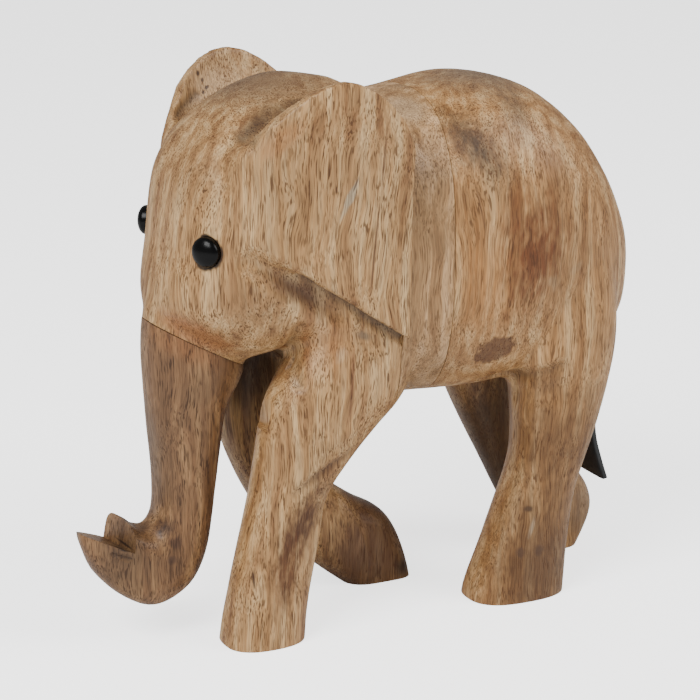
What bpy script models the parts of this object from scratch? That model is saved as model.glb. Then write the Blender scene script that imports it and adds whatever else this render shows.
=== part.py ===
"""Carved wooden elephant, glued up from three blocks, with a doweled trunk, pinned eyes and a leather tail.

The elephant stands on the ground plane, faces -Y, and has its left side at +X. Lengths are written in
millimetres and turned into metres where a mesh is made.
"""

import math

import bmesh
import bpy
from mathutils import Matrix, Vector

MM = 0.001

# Whole figure
MIDDLE_Y = -6.55  # half way between the trunk's lip and the hind heel, in the carver's coordinates below
GAP = 0.3  # clearance between two pieces that are glued together
GRAIN_VOXEL = 1.5  # size of the cells in which the roughed-out shapes are fused
SMOOTH_ROUNDS = 4

# Glue planes between the blocks
FRONT_JOINT_Y = -9.0
REAR_JOINT_Y = 4.5
JOINT_LOWEST_Z = 52.0  # under the belly, above the swept-back front leg
BETWEEN_LEGS_Y = 15.0  # between the front feet and the hind feet

# Trunk joint: a sloping cut from the brow side down to the throat
TRUNK_JOINT_FRONT = (-72.0, 87.2)
TRUNK_JOINT_BACK = (-43.2, 71.55)
TRUNK_ROOT_LOWEST = 57.0
TRUNK_SIDE = 20.0  # reach of the cuts on the trunk, past each of its sides
DOWEL_RADIUS = 3.0
DOWEL_HALF_LENGTH = 11.0
DOWEL_CENTRE = (-56.5, 78.8)

# Eyes
EYE_CENTRE = (21.0, -58.05, 104.9)
EYE_TURN = math.radians(34.0)  # from straight ahead, towards the side
EYE_RADIUS = 3.8
EYE_DOME = 2.1
EYE_RIM = 0.9
EYE_SHANK_RADIUS = 1.4
EYE_SHANK_LENGTH = 7.0
EYE_SOCKET_MOUTH = 3.0  # how far the socket's cutter reaches out past the face

# Tail
TAIL_HINGE = (65.4, 66.6)
TAIL_HOLE_RADIUS = 3.3
TAIL_HOLE_DEPTH = 12.0
TAIL_HOLE_MOUTH = 6.0  # how far the hole's cutter reaches out past the rump
TAIL_HOLE_END_GAP = 1.0  # between the leather's end and the bottom of its hole
TAIL_ROOT_CLEARANCE = 1.8  # from the hinge up to the glued end, so that the strap can turn
TAIL_HOLE_DIRECTION = Vector((0.0, 0.6, -0.8))
TAIL_THICKNESS = 2.0
TAIL_ROOT_WIDTH = 5.0

# Triangles kept on the whole carved body before it is cut into blocks, and on the trunk
WHOLE_TRIANGLES = 5600
TRUNK_TRIANGLES = 1000

# Reach of the straight-sided cutting tools, beyond the figure on every side
SIDE = 60.0
LONG = 120.0
HIGH = 170.0

RING_POINTS = 32

# Each section of a carved shape is a rounded ring, given as
# (centre x, (y, z) of one edge, (y, z) of the opposite edge, half width in x, power).
# Power 2 is an ellipse, and a higher power is squarer.

TORSO = [
    (0.0, (-47.0, 89.0), (-47.0, 118.0), 17.0, 2.4),
    (0.0, (-38.0, 79.0), (-38.0, 131.0), 27.0, 2.6),
    (0.0, (-25.0, 66.5), (-25.0, 136.0), 30.6, 2.6),
    (0.0, (-9.0, 60.2), (-9.0, 137.0), 31.6, 2.7),
    (0.0, (4.0, 58.8), (4.0, 139.2), 31.5, 2.7),
    (0.0, (20.0, 58.4), (20.0, 141.7), 31.5, 2.7),
    (0.0, (34.0, 59.4), (34.0, 139.2), 30.9, 2.6),
    (0.0, (46.5, 61.0), (46.5, 131.8), 28.4, 2.5),
    (0.0, (56.5, 63.5), (56.5, 121.0), 24.0, 2.4),
    (0.0, (63.3, 68.0), (63.3, 109.6), 18.5, 2.3),
    (0.0, (67.4, 74.0), (67.4, 100.0), 11.5, 2.2),
    (0.0, (69.3, 82.0), (69.3, 92.0), 5.0, 2.0),
]

FACE = [
    (0.0, (-65.4, 83.0), (-44.5, 69.5), 11.2, 2.4),
    (0.0, (-65.4, 87.6), (-41.6, 72.6), 16.6, 2.5),
    (0.0, (-64.8, 91.6), (-33.0, 75.8), 23.4, 2.6),
    (0.0, (-63.8, 96.6), (-8.0, 84.0), 29.0, 2.8),
    (0.0, (-62.5, 103.0), (10.0, 98.0), 31.4, 2.9),
    (0.0, (-61.5, 111.0), (12.0, 111.0), 31.8, 2.9),
    (0.0, (-60.1, 120.0), (12.0, 122.0), 31.0, 2.8),
    (0.0, (-57.2, 127.5), (10.0, 128.0), 28.6, 2.5),
    (0.0, (-53.0, 133.0), (4.0, 132.0), 24.6, 2.3),
    (0.0, (-46.0, 138.8), (-4.0, 135.6), 18.5, 2.1),
    (0.0, (-37.6, 143.2), (-9.0, 139.0), 10.0, 2.0),
    (0.0, (-31.0, 144.8), (-16.0, 142.4), 4.0, 2.0),
]

EAR_OUTSIDE = [
    (0.0, (-60.0, 78.0), (30.0, 78.0), 33.2, 3.0),
    (0.0, (-60.2, 105.0), (30.0, 105.0), 34.2, 3.0),
    (0.0, (-60.0, 120.0), (30.0, 120.0), 35.0, 3.0),
    (0.0, (-57.4, 132.0), (28.0, 132.0), 36.4, 3.0),
    (0.0, (-55.0, 141.0), (26.0, 141.0), 37.4, 3.0),
    (0.0, (-51.0, 150.0), (26.0, 150.0), 38.0, 3.0),
]
EAR_THICKNESS = ((78.0, 9.0), (124.0, 8.0), (146.0, 3.0))  # (height, thickness) of the ear
EAR_RIM = 0.4  # share of that thickness at the ear's front edge
EAR_HOLLOW_ENDS = 2.0  # how far the hollow runs on above and below the ear's outside
EAR_SIDE = 45.0

EAR_OUTLINE = [
    (-54.0, 111.0),
    (-53.0, 126.0),
    (-49.8, 132.6),
    (-46.4, 137.2),
    (-42.4, 141.2),
    (-37.8, 144.4),
    (-33.0, 146.2),
    (-28.5, 146.4),
    (-24.0, 145.4),
    (-19.5, 143.0),
    (-15.5, 139.8),
    (-12.0, 135.8),
    (-9.4, 130.8),
    (-8.0, 126.0),
    (-8.0, 79.0),
    (-12.0, 81.2),
    (-22.0, 87.6),
    (-34.0, 95.6),
    (-46.0, 103.6),
    (-51.5, 107.5),
]

LEFT_FRONT_LEG = [
    (17.0, (-25.5, 92.0), (-2.0, 92.0), 12.0, 2.4),
    (17.5, (-30.5, 78.0), (0.0, 74.0), 12.0, 2.4),
    (17.3, (-37.6, 65.0), (-4.2, 63.0), 11.6, 2.4),
    (17.0, (-41.4, 56.0), (-11.2, 55.5), 10.8, 2.4),
    (16.6, (-43.8, 50.0), (-18.0, 48.0), 10.4, 2.4),
    (16.0, (-45.7, 38.0), (-25.0, 38.0), 9.6, 2.4),
    (15.6, (-48.0, 28.0), (-26.6, 28.0), 9.4, 2.4),
    (15.2, (-51.6, 11.0), (-29.8, 11.0), 9.6, 2.5),
    (14.9, (-53.8, -2.0), (-31.0, -2.0), 9.8, 2.5),
]

RIGHT_FRONT_LEG = [
    (-17.0, (-38.0, 92.0), (-2.0, 92.0), 12.0, 2.4),
    (-17.5, (-40.0, 76.0), (0.0, 73.0), 12.0, 2.4),
    (-17.0, (-42.0, 60.0), (-11.0, 58.0), 11.2, 2.4),
    (-16.0, (-40.4, 44.5), (-17.6, 49.0), 10.2, 2.4),
    (-15.2, (-33.6, 28.0), (-13.8, 34.0), 9.8, 2.4),
    (-14.8, (-23.6, 14.0), (-3.4, 24.6), 9.8, 2.4),
    (-14.6, (-13.8, 4.5), (6.2, 18.4), 9.8, 3.2),
    (-14.4, (-6.5, -1.0), (11.2, 8.0), 9.8, 4.0),
    (-14.4, (-4.0, -3.5), (13.2, -2.5), 9.8, 5.0),
]

LEFT_HIND_LEG = [
    (15.5, (24.0, 92.0), (59.0, 92.0), 13.0, 2.3),
    (16.5, (27.5, 76.0), (59.8, 76.0), 13.0, 2.3),
    (16.8, (29.5, 63.0), (57.8, 61.0), 12.2, 2.4),
    (16.5, (31.0, 48.0), (54.4, 47.0), 10.8, 2.4),
    (16.0, (30.4, 38.0), (51.8, 38.0), 9.8, 2.4),
    (15.4, (27.5, 28.0), (49.2, 28.0), 9.6, 2.4),
    (15.0, (22.6, 14.0), (47.6, 14.0), 10.0, 2.5),
    (14.6, (18.6, 3.0), (46.9, 3.0), 10.4, 2.6),
    (14.5, (17.6, -3.0), (46.4, -3.0), 10.4, 2.6),
]

RIGHT_HIND_LEG = [
    (-15.5, (20.0, 86.0), (59.0, 90.0), 13.0, 2.3),
    (-16.5, (22.0, 68.0), (61.0, 74.0), 12.6, 2.3),
    (-16.4, (26.2, 54.0), (58.5, 58.0), 11.4, 2.4),
    (-16.0, (31.5, 42.0), (57.2, 46.0), 10.4, 2.4),
    (-15.4, (37.5, 30.0), (60.5, 35.0), 9.8, 2.4),
    (-15.0, (44.0, 17.0), (66.6, 25.0), 9.8, 2.4),
    (-14.8, (49.0, 7.0), (72.6, 16.6), 9.8, 2.5),
    (-14.6, (51.5, 1.0), (73.6, 9.5), 9.6, 2.4),
    (-14.5, (53.0, -3.0), (68.0, -1.0), 9.2, 2.4),
]

TRUNK = [
    (0.0, (-63.6, 96.0), (-43.0, 90.0), 12.0, 2.5),
    (0.0, (-66.6, 84.0), (-43.6, 74.0), 11.8, 2.5),
    (0.0, (-67.3, 74.0), (-43.4, 68.0), 11.4, 2.5),
    (0.0, (-66.7, 60.0), (-46.0, 60.0), 10.6, 2.5),
    (0.0, (-65.8, 49.0), (-47.9, 49.0), 9.8, 2.5),
    (0.0, (-65.4, 41.0), (-49.2, 40.0), 9.4, 2.5),
    (0.0, (-65.6, 35.0), (-50.4, 31.0), 9.2, 2.5),
    (0.0, (-66.6, 31.6), (-52.4, 21.5), 9.2, 2.5),
    (0.0, (-69.0, 30.0), (-57.2, 12.6), 9.0, 2.5),
    (0.0, (-73.0, 31.6), (-67.0, 8.8), 8.4, 3.0),
    (0.0, (-77.8, 34.6), (-76.2, 13.0), 7.8, 3.8),
    (0.0, (-82.6, 33.6), (-82.6, 19.4), 5.4, 3.0),
    (0.0, (-86.8, 32.4), (-86.0, 27.6), 1.8, 2.0),
]
# The step cut into the trunk's tip: its corner, the top of its riser, and the lip's point
STEP_CORNER = (-77.0, 26.4)
STEP_RISER_TOP = (-75.4, 35.0)
STEP_LIP = (-88.0, 31.6)
STEP_FARTHEST = (-100.0, 45.0)  # a corner of the step's cutter, clear of the tip

TAIL_STRAP = [
    (0.0, 66.2, 65.4, 5.2),
    (0.0, 56.0, 64.6, 5.4),
    (0.2, 46.0, 63.8, 6.2),
    (0.5, 37.0, 63.8, 7.8),
    (0.9, 30.0, 65.0, 10.4),
    (1.2, 24.6, 66.2, 12.6),
]


def mm(x, y, z):
    """A point of the carver's coordinates as a position in metres."""
    return Vector((x, y - MIDDLE_Y, z)) * MM


def material(name, colour, roughness):
    made = bpy.data.materials.new(name)
    made.use_nodes = True
    shader = made.node_tree.nodes["Principled BSDF"]
    shader.inputs["Base Color"].default_value = (*colour, 1.0)
    shader.inputs["Roughness"].default_value = roughness
    shader.inputs["Metallic"].default_value = 0.0
    return made


def new_object(name, shape):
    """A mesh object made from a bmesh, which it frees."""
    bmesh.ops.recalc_face_normals(shape, faces=shape.faces)
    mesh = bpy.data.meshes.new(name)
    shape.to_mesh(mesh)
    shape.free()
    made = bpy.data.objects.new(name, mesh)
    bpy.context.scene.collection.objects.link(made)
    return made


def rounded(value, power):
    return math.copysign(abs(value) ** (2.0 / power), value)


def add_section(shape, section, capped):
    """One ring of a carved shape. Returns its edges."""
    centre_x, first, second, half_x, power = section
    one, other = mm(centre_x, *first), mm(centre_x, *second)
    middle, half = (one + other) / 2, (other - one) / 2
    ring = bmesh.ops.create_circle(shape, cap_ends=capped, segments=RING_POINTS, radius=1.0)
    for vertex in ring["verts"]:
        across, along = rounded(vertex.co.x, power), rounded(vertex.co.y, power)
        vertex.co = middle + along * half + Vector((across * half_x * MM, 0, 0))
    return list({edge for vertex in ring["verts"] for edge in vertex.link_edges})


def add_loft(shape, sections):
    """A closed solid through the rings, added to the bmesh."""
    rings = [
        add_section(shape, section, section in (sections[0], sections[-1])) for section in sections
    ]
    for lower, upper in zip(rings, rings[1:]):
        bmesh.ops.bridge_loops(shape, edges=lower + upper)


def add_prism(shape, outline, low_x, high_x):
    """A flat outline in the YZ plane, drawn out along X."""
    base = [shape.verts.new(mm(low_x, y, z)) for y, z in outline]
    face = shape.faces.new(base)
    drawn = bmesh.ops.extrude_face_region(shape, geom=[face])
    moved = [item for item in drawn["geom"] if isinstance(item, bmesh.types.BMVert)]
    bmesh.ops.translate(shape, verts=moved, vec=Vector(((high_x - low_x) * MM, 0, 0)))


def loft(name, *section_lists):
    shape = bmesh.new()
    for sections in section_lists:
        add_loft(shape, sections)
    return new_object(name, shape)


def prism(name, outline, low_x, high_x):
    shape = bmesh.new()
    add_prism(shape, outline, low_x, high_x)
    return new_object(name, shape)


def box(name, low, high):
    (low_x, low_y, low_z), (high_x, high_y, high_z) = low, high
    outline = [(low_y, low_z), (high_y, low_z), (high_y, high_z), (low_y, high_z)]
    return prism(name, outline, low_x, high_x)


def apply_modifiers(thing):
    """Bakes the object's modifiers into its mesh."""
    graph = bpy.context.evaluated_depsgraph_get()
    baked = bpy.data.meshes.new_from_object(thing.evaluated_get(graph))
    thing.modifiers.clear()
    old, thing.data = thing.data, baked
    bpy.data.meshes.remove(old)


def remove(thing):
    bpy.data.meshes.remove(thing.data)


def cut(thing, tool, operation="DIFFERENCE"):
    """Cuts the object with a tool, which it then removes."""
    boolean = thing.modifiers.new("cut", "BOOLEAN")
    boolean.operation = operation
    boolean.solver = "EXACT"
    boolean.object = tool
    apply_modifiers(thing)
    remove(tool)


def keep_inside(thing, tool):
    cut(thing, tool, "INTERSECT")


def carve(thing, triangles):
    """Fuses the overlapping solids of an object, softens the result and thins its mesh."""
    remesh = thing.modifiers.new("fuse", "REMESH")
    remesh.mode = "VOXEL"
    remesh.voxel_size = GRAIN_VOXEL * MM
    apply_modifiers(thing)
    smooth = thing.modifiers.new("soften", "SMOOTH")
    smooth.iterations = SMOOTH_ROUNDS
    apply_modifiers(thing)
    present = sum(len(face.vertices) - 2 for face in thing.data.polygons)
    thin = thing.modifiers.new("thin", "DECIMATE")
    thin.ratio = min(1.0, triangles / present)
    apply_modifiers(thing)


def new_copy(name, thing):
    copied = bpy.data.objects.new(name, thing.data.copy())
    bpy.context.scene.collection.objects.link(copied)
    return copied


def join(name, things):
    """One object that holds every mesh of a list, still as separate solids."""
    shape = bmesh.new()
    for thing in things:
        shape.from_mesh(thing.data)
        remove(thing)
    return new_object(name, shape)


def ear_thickness(height):
    below, between, above = EAR_THICKNESS
    (low, at_low), (high, at_high) = (below, between) if height < between[0] else (between, above)
    return at_low + (height - low) / (high - low) * (at_high - at_low)


def ear_hollow():
    """The same lofted form as the ears' outside, drawn in by their thickness and longer at both ends."""
    sections = []
    for index, (centre_x, (front, z), (back, _), half_x, power) in enumerate(EAR_OUTSIDE):
        thickness = ear_thickness(z)
        if index == 0:
            z -= EAR_HOLLOW_ENDS
        elif index == len(EAR_OUTSIDE) - 1:
            z += EAR_HOLLOW_ENDS
        front_edge = (front + EAR_RIM * thickness, z)
        sections.append((centre_x, front_edge, (back, z), half_x - thickness, power))
    return loft("ear_hollow", sections)


def make_ears():
    """Both ears, as the shell between two lofts kept inside the ears' outline."""
    ears = loft("ears", EAR_OUTSIDE)
    cut(ears, ear_hollow())
    keep_inside(ears, prism("ear_outline", EAR_OUTLINE, -EAR_SIDE, EAR_SIDE))
    return ears


def below_trunk_joint(name, lift, lowest):
    """The space from a height up to the trunk's joint plane, which is moved square to itself by a lift."""
    along = (Vector(TRUNK_JOINT_BACK) - Vector(TRUNK_JOINT_FRONT)).normalized()
    shift = Vector((-along.y, along.x)) * lift
    front, back = Vector(TRUNK_JOINT_FRONT) + shift, Vector(TRUNK_JOINT_BACK) + shift
    far = front + (front - back)
    outline = [(back.x, lowest), (far.x, lowest), far[:], back[:]]
    return prism(name, outline, -TRUNK_SIDE, TRUNK_SIDE)


def turned(name, profile, centre, direction, steps=20):
    """A solid turned about the line through a centre, from (radius, distance along the line) points."""
    shape = bmesh.new()
    points = [shape.verts.new((radius * MM, 0.0, along * MM)) for radius, along in profile]
    edges = [shape.edges.new(pair) for pair in zip(points, points[1:])]
    bmesh.ops.spin(
        shape, geom=points + edges, axis=(0, 0, 1), cent=(0, 0, 0),
        angle=math.tau, steps=steps, use_merge=True,
    )
    bmesh.ops.remove_doubles(shape, verts=shape.verts, dist=1e-6)
    turn = Vector((0, 0, 1)).rotation_difference(direction).to_matrix().to_4x4()
    bmesh.ops.transform(shape, matrix=Matrix.Translation(mm(*centre)) @ turn, verts=shape.verts)
    return new_object(name, shape)


def eye_direction(side):
    return Vector((side * math.sin(EYE_TURN), -math.cos(EYE_TURN), 0.0))


def eye_profile(clearance):
    """The pin's outline from its shank's end to the top of its dome, grown by a clearance."""
    rim = EYE_RADIUS + clearance
    shank = EYE_SHANK_RADIUS + clearance
    end = -EYE_RIM - EYE_SHANK_LENGTH - clearance
    return [(0.0, end), (shank, end), (shank, -EYE_RIM - clearance), (rim, -EYE_RIM - clearance)]


def make_eye(name, side):
    dome = [
        (EYE_RADIUS * math.cos(step), EYE_DOME * math.sin(step))
        for step in (math.radians(angle) for angle in (0, 15, 30, 45, 60, 75))
    ]
    x, y, z = EYE_CENTRE
    profile = eye_profile(0.0) + dome + [(0.0, EYE_DOME)]
    return turned(name, profile, (side * x, y, z), eye_direction(side))


def eye_socket(side):
    x, y, z = EYE_CENTRE
    mouth = EYE_RADIUS + GAP
    profile = eye_profile(GAP) + [(mouth, EYE_SOCKET_MOUTH), (0.0, EYE_SOCKET_MOUTH)]
    return turned("eye_socket", profile, (side * x, y, z), eye_direction(side))


def dowel_direction():
    along = (Vector(TRUNK_JOINT_BACK) - Vector(TRUNK_JOINT_FRONT)).normalized()
    return Vector((0.0, -along.y, along.x))


def dowel_shape(name, clearance):
    radius, half = DOWEL_RADIUS + clearance, DOWEL_HALF_LENGTH + clearance
    profile = [(0.0, -half), (radius, -half), (radius, half), (0.0, half)]
    return turned(name, profile, (0.0, *DOWEL_CENTRE), dowel_direction())


def under_ground():
    return box("ground", (-SIDE, -LONG, -HIGH), (SIDE, LONG, 0.0))


def tail_hole():
    radius, end, mouth = TAIL_HOLE_RADIUS, -TAIL_HOLE_DEPTH, TAIL_HOLE_MOUTH
    profile = [(0.0, end), (radius, end), (radius, mouth), (0.0, mouth)]
    return turned("tail_hole", profile, (0.0, *TAIL_HINGE), TAIL_HOLE_DIRECTION)


def carved_body(name, triangles, *extra):
    """The torso, head and legs fused, with any further solids. Every block is cut from this form."""
    body = loft(
        "body", TORSO, FACE, TRUNK[:4], LEFT_FRONT_LEG, RIGHT_FRONT_LEG, LEFT_HIND_LEG, RIGHT_HIND_LEG
    )
    body = join(name, [body, *extra])
    carve(body, triangles)
    cut(body, under_ground())
    return body


def make_front_block():
    """Head, ears, chest and both front legs."""
    block = carved_body("front_block", WHOLE_TRIANGLES, make_ears())
    cut(block, box("behind", (-SIDE, FRONT_JOINT_Y, JOINT_LOWEST_Z), (SIDE, LONG, HIGH)))
    cut(block, box("hind_legs", (-SIDE, BETWEEN_LEGS_Y, -HIGH), (SIDE, LONG, HIGH)))
    cut(block, below_trunk_joint("trunk_side", GAP / 2, TRUNK_ROOT_LOWEST))
    cut(block, dowel_shape("dowel_hole", GAP))
    for side in (-1, 1):
        cut(block, eye_socket(side))
    return block


def make_middle_board(body):
    """The thin board between the two big blocks, cut from a copy of the carved body."""
    board = new_copy("middle_board", body)
    low_y, high_y = FRONT_JOINT_Y + GAP, REAR_JOINT_Y
    keep_inside(board, box("slab", (-SIDE, low_y, JOINT_LOWEST_Z), (SIDE, high_y, HIGH)))
    return board


def make_rear_block(body):
    """Hindquarters and both hind legs."""
    block = new_copy("rear_block", body)
    cut(block, box("ahead", (-SIDE, -LONG, -HIGH), (SIDE, REAR_JOINT_Y + GAP, HIGH)))
    cut(block, box("front_legs", (-SIDE, -LONG, -HIGH), (SIDE, BETWEEN_LEGS_Y, JOINT_LOWEST_Z)))
    cut(block, tail_hole())
    return block


def make_trunk():
    """The trunk, with the step that makes the two fingers at its tip."""
    trunk = loft("trunk_block", TRUNK)
    carve(trunk, TRUNK_TRIANGLES)
    far_y, far_z = STEP_FARTHEST
    above = [
        STEP_CORNER, STEP_RISER_TOP, (STEP_RISER_TOP[0], far_z), STEP_FARTHEST,
        (far_y, STEP_LIP[1]), STEP_LIP,
    ]
    cut(trunk, prism("step", above, -TRUNK_SIDE, TRUNK_SIDE))
    keep_inside(trunk, below_trunk_joint("head_side", -GAP / 2, 0.0))
    cut(trunk, dowel_shape("dowel_hole", GAP))
    return trunk


def make_strap(name, stations):
    """A flat leather strip through (x, z, y, width) stations."""
    shape = bmesh.new()
    rings = []
    for x, z, y, width in stations:
        corners = [
            (x + side * width / 2, y + depth * TAIL_THICKNESS / 2, z)
            for side, depth in ((-1, -1), (1, -1), (1, 1), (-1, 1))
        ]
        points = [shape.verts.new(mm(*corner)) for corner in corners]
        rings.append([shape.edges.new(pair) for pair in zip(points, points[1:] + points[:1])])
    for upper, lower in zip(rings, rings[1:]):
        bmesh.ops.bridge_loops(shape, edges=upper + lower)
    bmesh.ops.holes_fill(shape, edges=rings[0] + rings[-1])
    return new_object(name, shape)


def make_tail_root():
    """The end of the leather strip, glued into the hole in the rump."""
    length = TAIL_HOLE_DEPTH - TAIL_ROOT_CLEARANCE - TAIL_HOLE_END_GAP
    shape = bmesh.new()
    bmesh.ops.create_cube(shape, size=MM)
    bmesh.ops.scale(shape, vec=(TAIL_ROOT_WIDTH, TAIL_THICKNESS, length), verts=shape.verts)
    lift = Matrix.Translation((0, 0, -(TAIL_ROOT_CLEARANCE + length / 2) * MM))
    turn = Vector((0, 0, 1)).rotation_difference(TAIL_HOLE_DIRECTION).to_matrix().to_4x4()
    place = Matrix.Translation(mm(0.0, *TAIL_HINGE)) @ turn @ lift
    bmesh.ops.transform(shape, matrix=place, verts=shape.verts)
    return new_object("tail_root", shape)


def put_origin_on_hinge(strap):
    """Moves the strap's origin onto its hinge without moving the strap."""
    hinge = mm(0.0, *TAIL_HINGE)
    strap.data.transform(Matrix.Translation(-hinge))
    strap.location = hinge


def finish(thing, look, parent, sharp_angle=math.radians(35.0)):
    """Gives a piece its material and smooth shading, and hangs it on the whole figure's empty."""
    thing.data.materials.clear()
    thing.data.materials.append(look)
    thing.data.shade_smooth()
    thing.data.set_sharp_from_angle(angle=sharp_angle)
    thing.parent = parent


def clear_scene():
    for thing in list(bpy.data.objects):
        bpy.data.objects.remove(thing, do_unlink=True)


def main():
    clear_scene()
    golden = material("golden_mango_wood", (0.44, 0.27, 0.14), 0.55)
    grey = material("grey_mango_wood", (0.34, 0.22, 0.13), 0.55)
    dark = material("dark_mango_wood", (0.26, 0.16, 0.09), 0.55)
    dowel_wood = material("beech_dowel", (0.55, 0.38, 0.22), 0.6)
    gloss = material("black_gloss", (0.008, 0.008, 0.009), 0.12)
    leather = material("black_leather", (0.012, 0.012, 0.013), 0.5)

    front = make_front_block()
    body = carved_body("body", WHOLE_TRIANGLES)
    middle = make_middle_board(body)
    rear = make_rear_block(body)
    remove(body)
    strap = make_strap("tail_strap", TAIL_STRAP)
    put_origin_on_hinge(strap)

    figure = bpy.data.objects.new("elephant", None)
    bpy.context.scene.collection.objects.link(figure)
    looks = [
        (front, golden), (middle, grey), (rear, golden), (make_trunk(), dark),
        (dowel_shape("trunk_dowel", 0.0), dowel_wood),
        (make_eye("left_eye", 1), gloss), (make_eye("right_eye", -1), gloss),
        (make_tail_root(), leather), (strap, leather),
    ]
    for thing, look in looks:
        finish(thing, look, figure)


main()
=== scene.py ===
"""Finished look of the carved wooden elephant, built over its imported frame.

The wooden blocks are lofted again from the carver's sections at a finer grain than the frame's
solids, then cut, grooved and sanded. Lengths are millimetres in the carver's coordinates, whose Y
runs from the trunk's tip to the tail, and ``to_frame`` turns them into the frame's metres.
"""

from __future__ import annotations

import logging
import math
from dataclasses import dataclass, field, replace
from enum import Enum

import bmesh
import bpy
from mathutils import Matrix, Vector, noise


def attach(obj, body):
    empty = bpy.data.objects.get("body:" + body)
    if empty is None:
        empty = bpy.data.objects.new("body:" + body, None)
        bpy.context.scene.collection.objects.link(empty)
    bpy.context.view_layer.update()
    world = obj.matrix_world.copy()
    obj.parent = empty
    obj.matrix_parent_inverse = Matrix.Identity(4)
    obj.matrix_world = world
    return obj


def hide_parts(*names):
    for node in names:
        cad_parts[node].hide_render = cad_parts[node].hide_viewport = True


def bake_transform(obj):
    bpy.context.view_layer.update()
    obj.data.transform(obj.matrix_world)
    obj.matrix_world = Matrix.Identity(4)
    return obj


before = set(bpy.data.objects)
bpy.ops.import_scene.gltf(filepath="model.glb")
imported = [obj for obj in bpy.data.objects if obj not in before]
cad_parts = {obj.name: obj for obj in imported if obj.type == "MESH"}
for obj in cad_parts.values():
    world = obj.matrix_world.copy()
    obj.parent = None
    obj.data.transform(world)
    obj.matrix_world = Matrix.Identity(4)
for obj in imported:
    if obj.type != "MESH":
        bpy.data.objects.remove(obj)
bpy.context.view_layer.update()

LOG = logging.getLogger("elephant")

MM = 0.001

Point2 = tuple[float, float]
Point3 = tuple[float, float, float]
Colour = tuple[float, float, float, float]


# --------------------------------------------------------------------------------------------------
# Measures shared by several pieces
# --------------------------------------------------------------------------------------------------

MIDDLE_Y = -6.55  # half way between the trunk's lip and the hind heel
HALF_GLUE_LINE = 0.09  # half the thickness of the dark glue line between two blocks
GLUE_REACH = 0.08  # how far the glue itself reaches from the middle of that line
GLUE_SET_BACK = 0.9  # how far the glue in a joint stands back from the sanded surface
FRONT_JOINT_Y = -9.0
REAR_JOINT_Y = 4.5
JOINT_LOWEST_Z = 52.0
BETWEEN_LEGS_Y = 15.0
SIDE, LONG, HIGH = 60.0, 120.0, 170.0  # reach of the straight cutters, past the figure all round


@dataclass(frozen=True)
class Section:
    """One rounded cross-section of a carved form.

    Args:
        centre_x: place of its middle across the figure.
        first: (y, z) of one edge.
        second: (y, z) of the opposite edge.
        half_x: half of its width across the figure.
        power: 2 for an ellipse, more for a squarer outline.
    """

    centre_x: float
    first: Point2
    second: Point2
    half_x: float
    power: float

    def numbers(self) -> tuple[float, ...]:
        """The section as plain numbers, for blending with its neighbours."""
        return (self.centre_x, *self.first, *self.second, self.half_x, self.power)

    @classmethod
    def from_numbers(cls, n: tuple[float, ...]) -> Section:
        """The section that ``numbers`` describes."""
        return cls(n[0], (n[1], n[2]), (n[3], n[4]), n[5], n[6])


def to_frame(x: float, y: float, z: float) -> Vector:
    """A point of the carver's coordinates in the frame's metres."""
    return Vector((x, y - MIDDLE_Y, z)) * MM


# --------------------------------------------------------------------------------------------------
# Workshop: shaping tools
# --------------------------------------------------------------------------------------------------


def new_object(name: str, shape: bmesh.types.BMesh) -> bpy.types.Object:
    """Makes an object from a bmesh, with its faces turned outwards.

    Args:
        name: name of the object.
        shape: its shape, which is freed.

    Returns:
        The new object, in the scene.
    """
    bmesh.ops.recalc_face_normals(shape, faces=shape.faces)
    mesh = bpy.data.meshes.new(name)
    shape.to_mesh(mesh)
    shape.free()
    made = bpy.data.objects.new(name, mesh)
    bpy.context.scene.collection.objects.link(made)
    return made


def bake(thing: bpy.types.Object) -> None:
    """Applies the object's modifiers to its mesh.

    Args:
        thing: the object.
    """
    graph = bpy.context.evaluated_depsgraph_get()
    baked = bpy.data.meshes.new_from_object(thing.evaluated_get(graph))
    thing.modifiers.clear()
    old, thing.data = thing.data, baked
    bpy.data.meshes.remove(old)


def copy_of(thing: bpy.types.Object, name: str) -> bpy.types.Object:
    """Copies an object with its mesh.

    Args:
        thing: the object.
        name: name of the copy.

    Returns:
        The copy, in the scene.
    """
    made = bpy.data.objects.new(name, thing.data.copy())
    bpy.context.scene.collection.objects.link(made)
    return made


def cut(thing: bpy.types.Object, tool: bpy.types.Object, operation: str = "DIFFERENCE") -> None:
    """Cuts the object with a tool, which is used up.

    Args:
        thing: object to cut.
        tool: closed cutter.
        operation: DIFFERENCE takes the tool away, INTERSECT keeps what is inside it, and UNION
            adds it.
    """
    boolean = thing.modifiers.new("cut", "BOOLEAN")
    boolean.operation = operation
    boolean.solver = "EXACT"
    boolean.object = tool
    bake(thing)
    bpy.data.meshes.remove(tool.data)


def fuse(things: list[bpy.types.Object], name: str, voxel: float) -> bpy.types.Object:
    """Makes one skin round overlapping solids, which are used up.

    Args:
        things: closed solids.
        name: name of the new object.
        voxel: size of the skin's cells, in millimetres.

    Returns:
        The fused object.
    """
    shape = bmesh.new()
    for thing in things:
        shape.from_mesh(thing.data)
        bpy.data.meshes.remove(thing.data)
    made = new_object(name, shape)
    remesh = made.modifiers.new("fuse", "REMESH")
    remesh.mode = "VOXEL"
    remesh.voxel_size = voxel * MM
    bake(made)
    return made


def sand(thing: bpy.types.Object, rounds: int) -> None:
    """Softens the whole surface.

    Args:
        thing: the object.
        rounds: smoothing rounds.
    """
    smooth = thing.modifiers.new("sand", "SMOOTH")
    smooth.iterations = rounds
    bake(thing)


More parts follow.
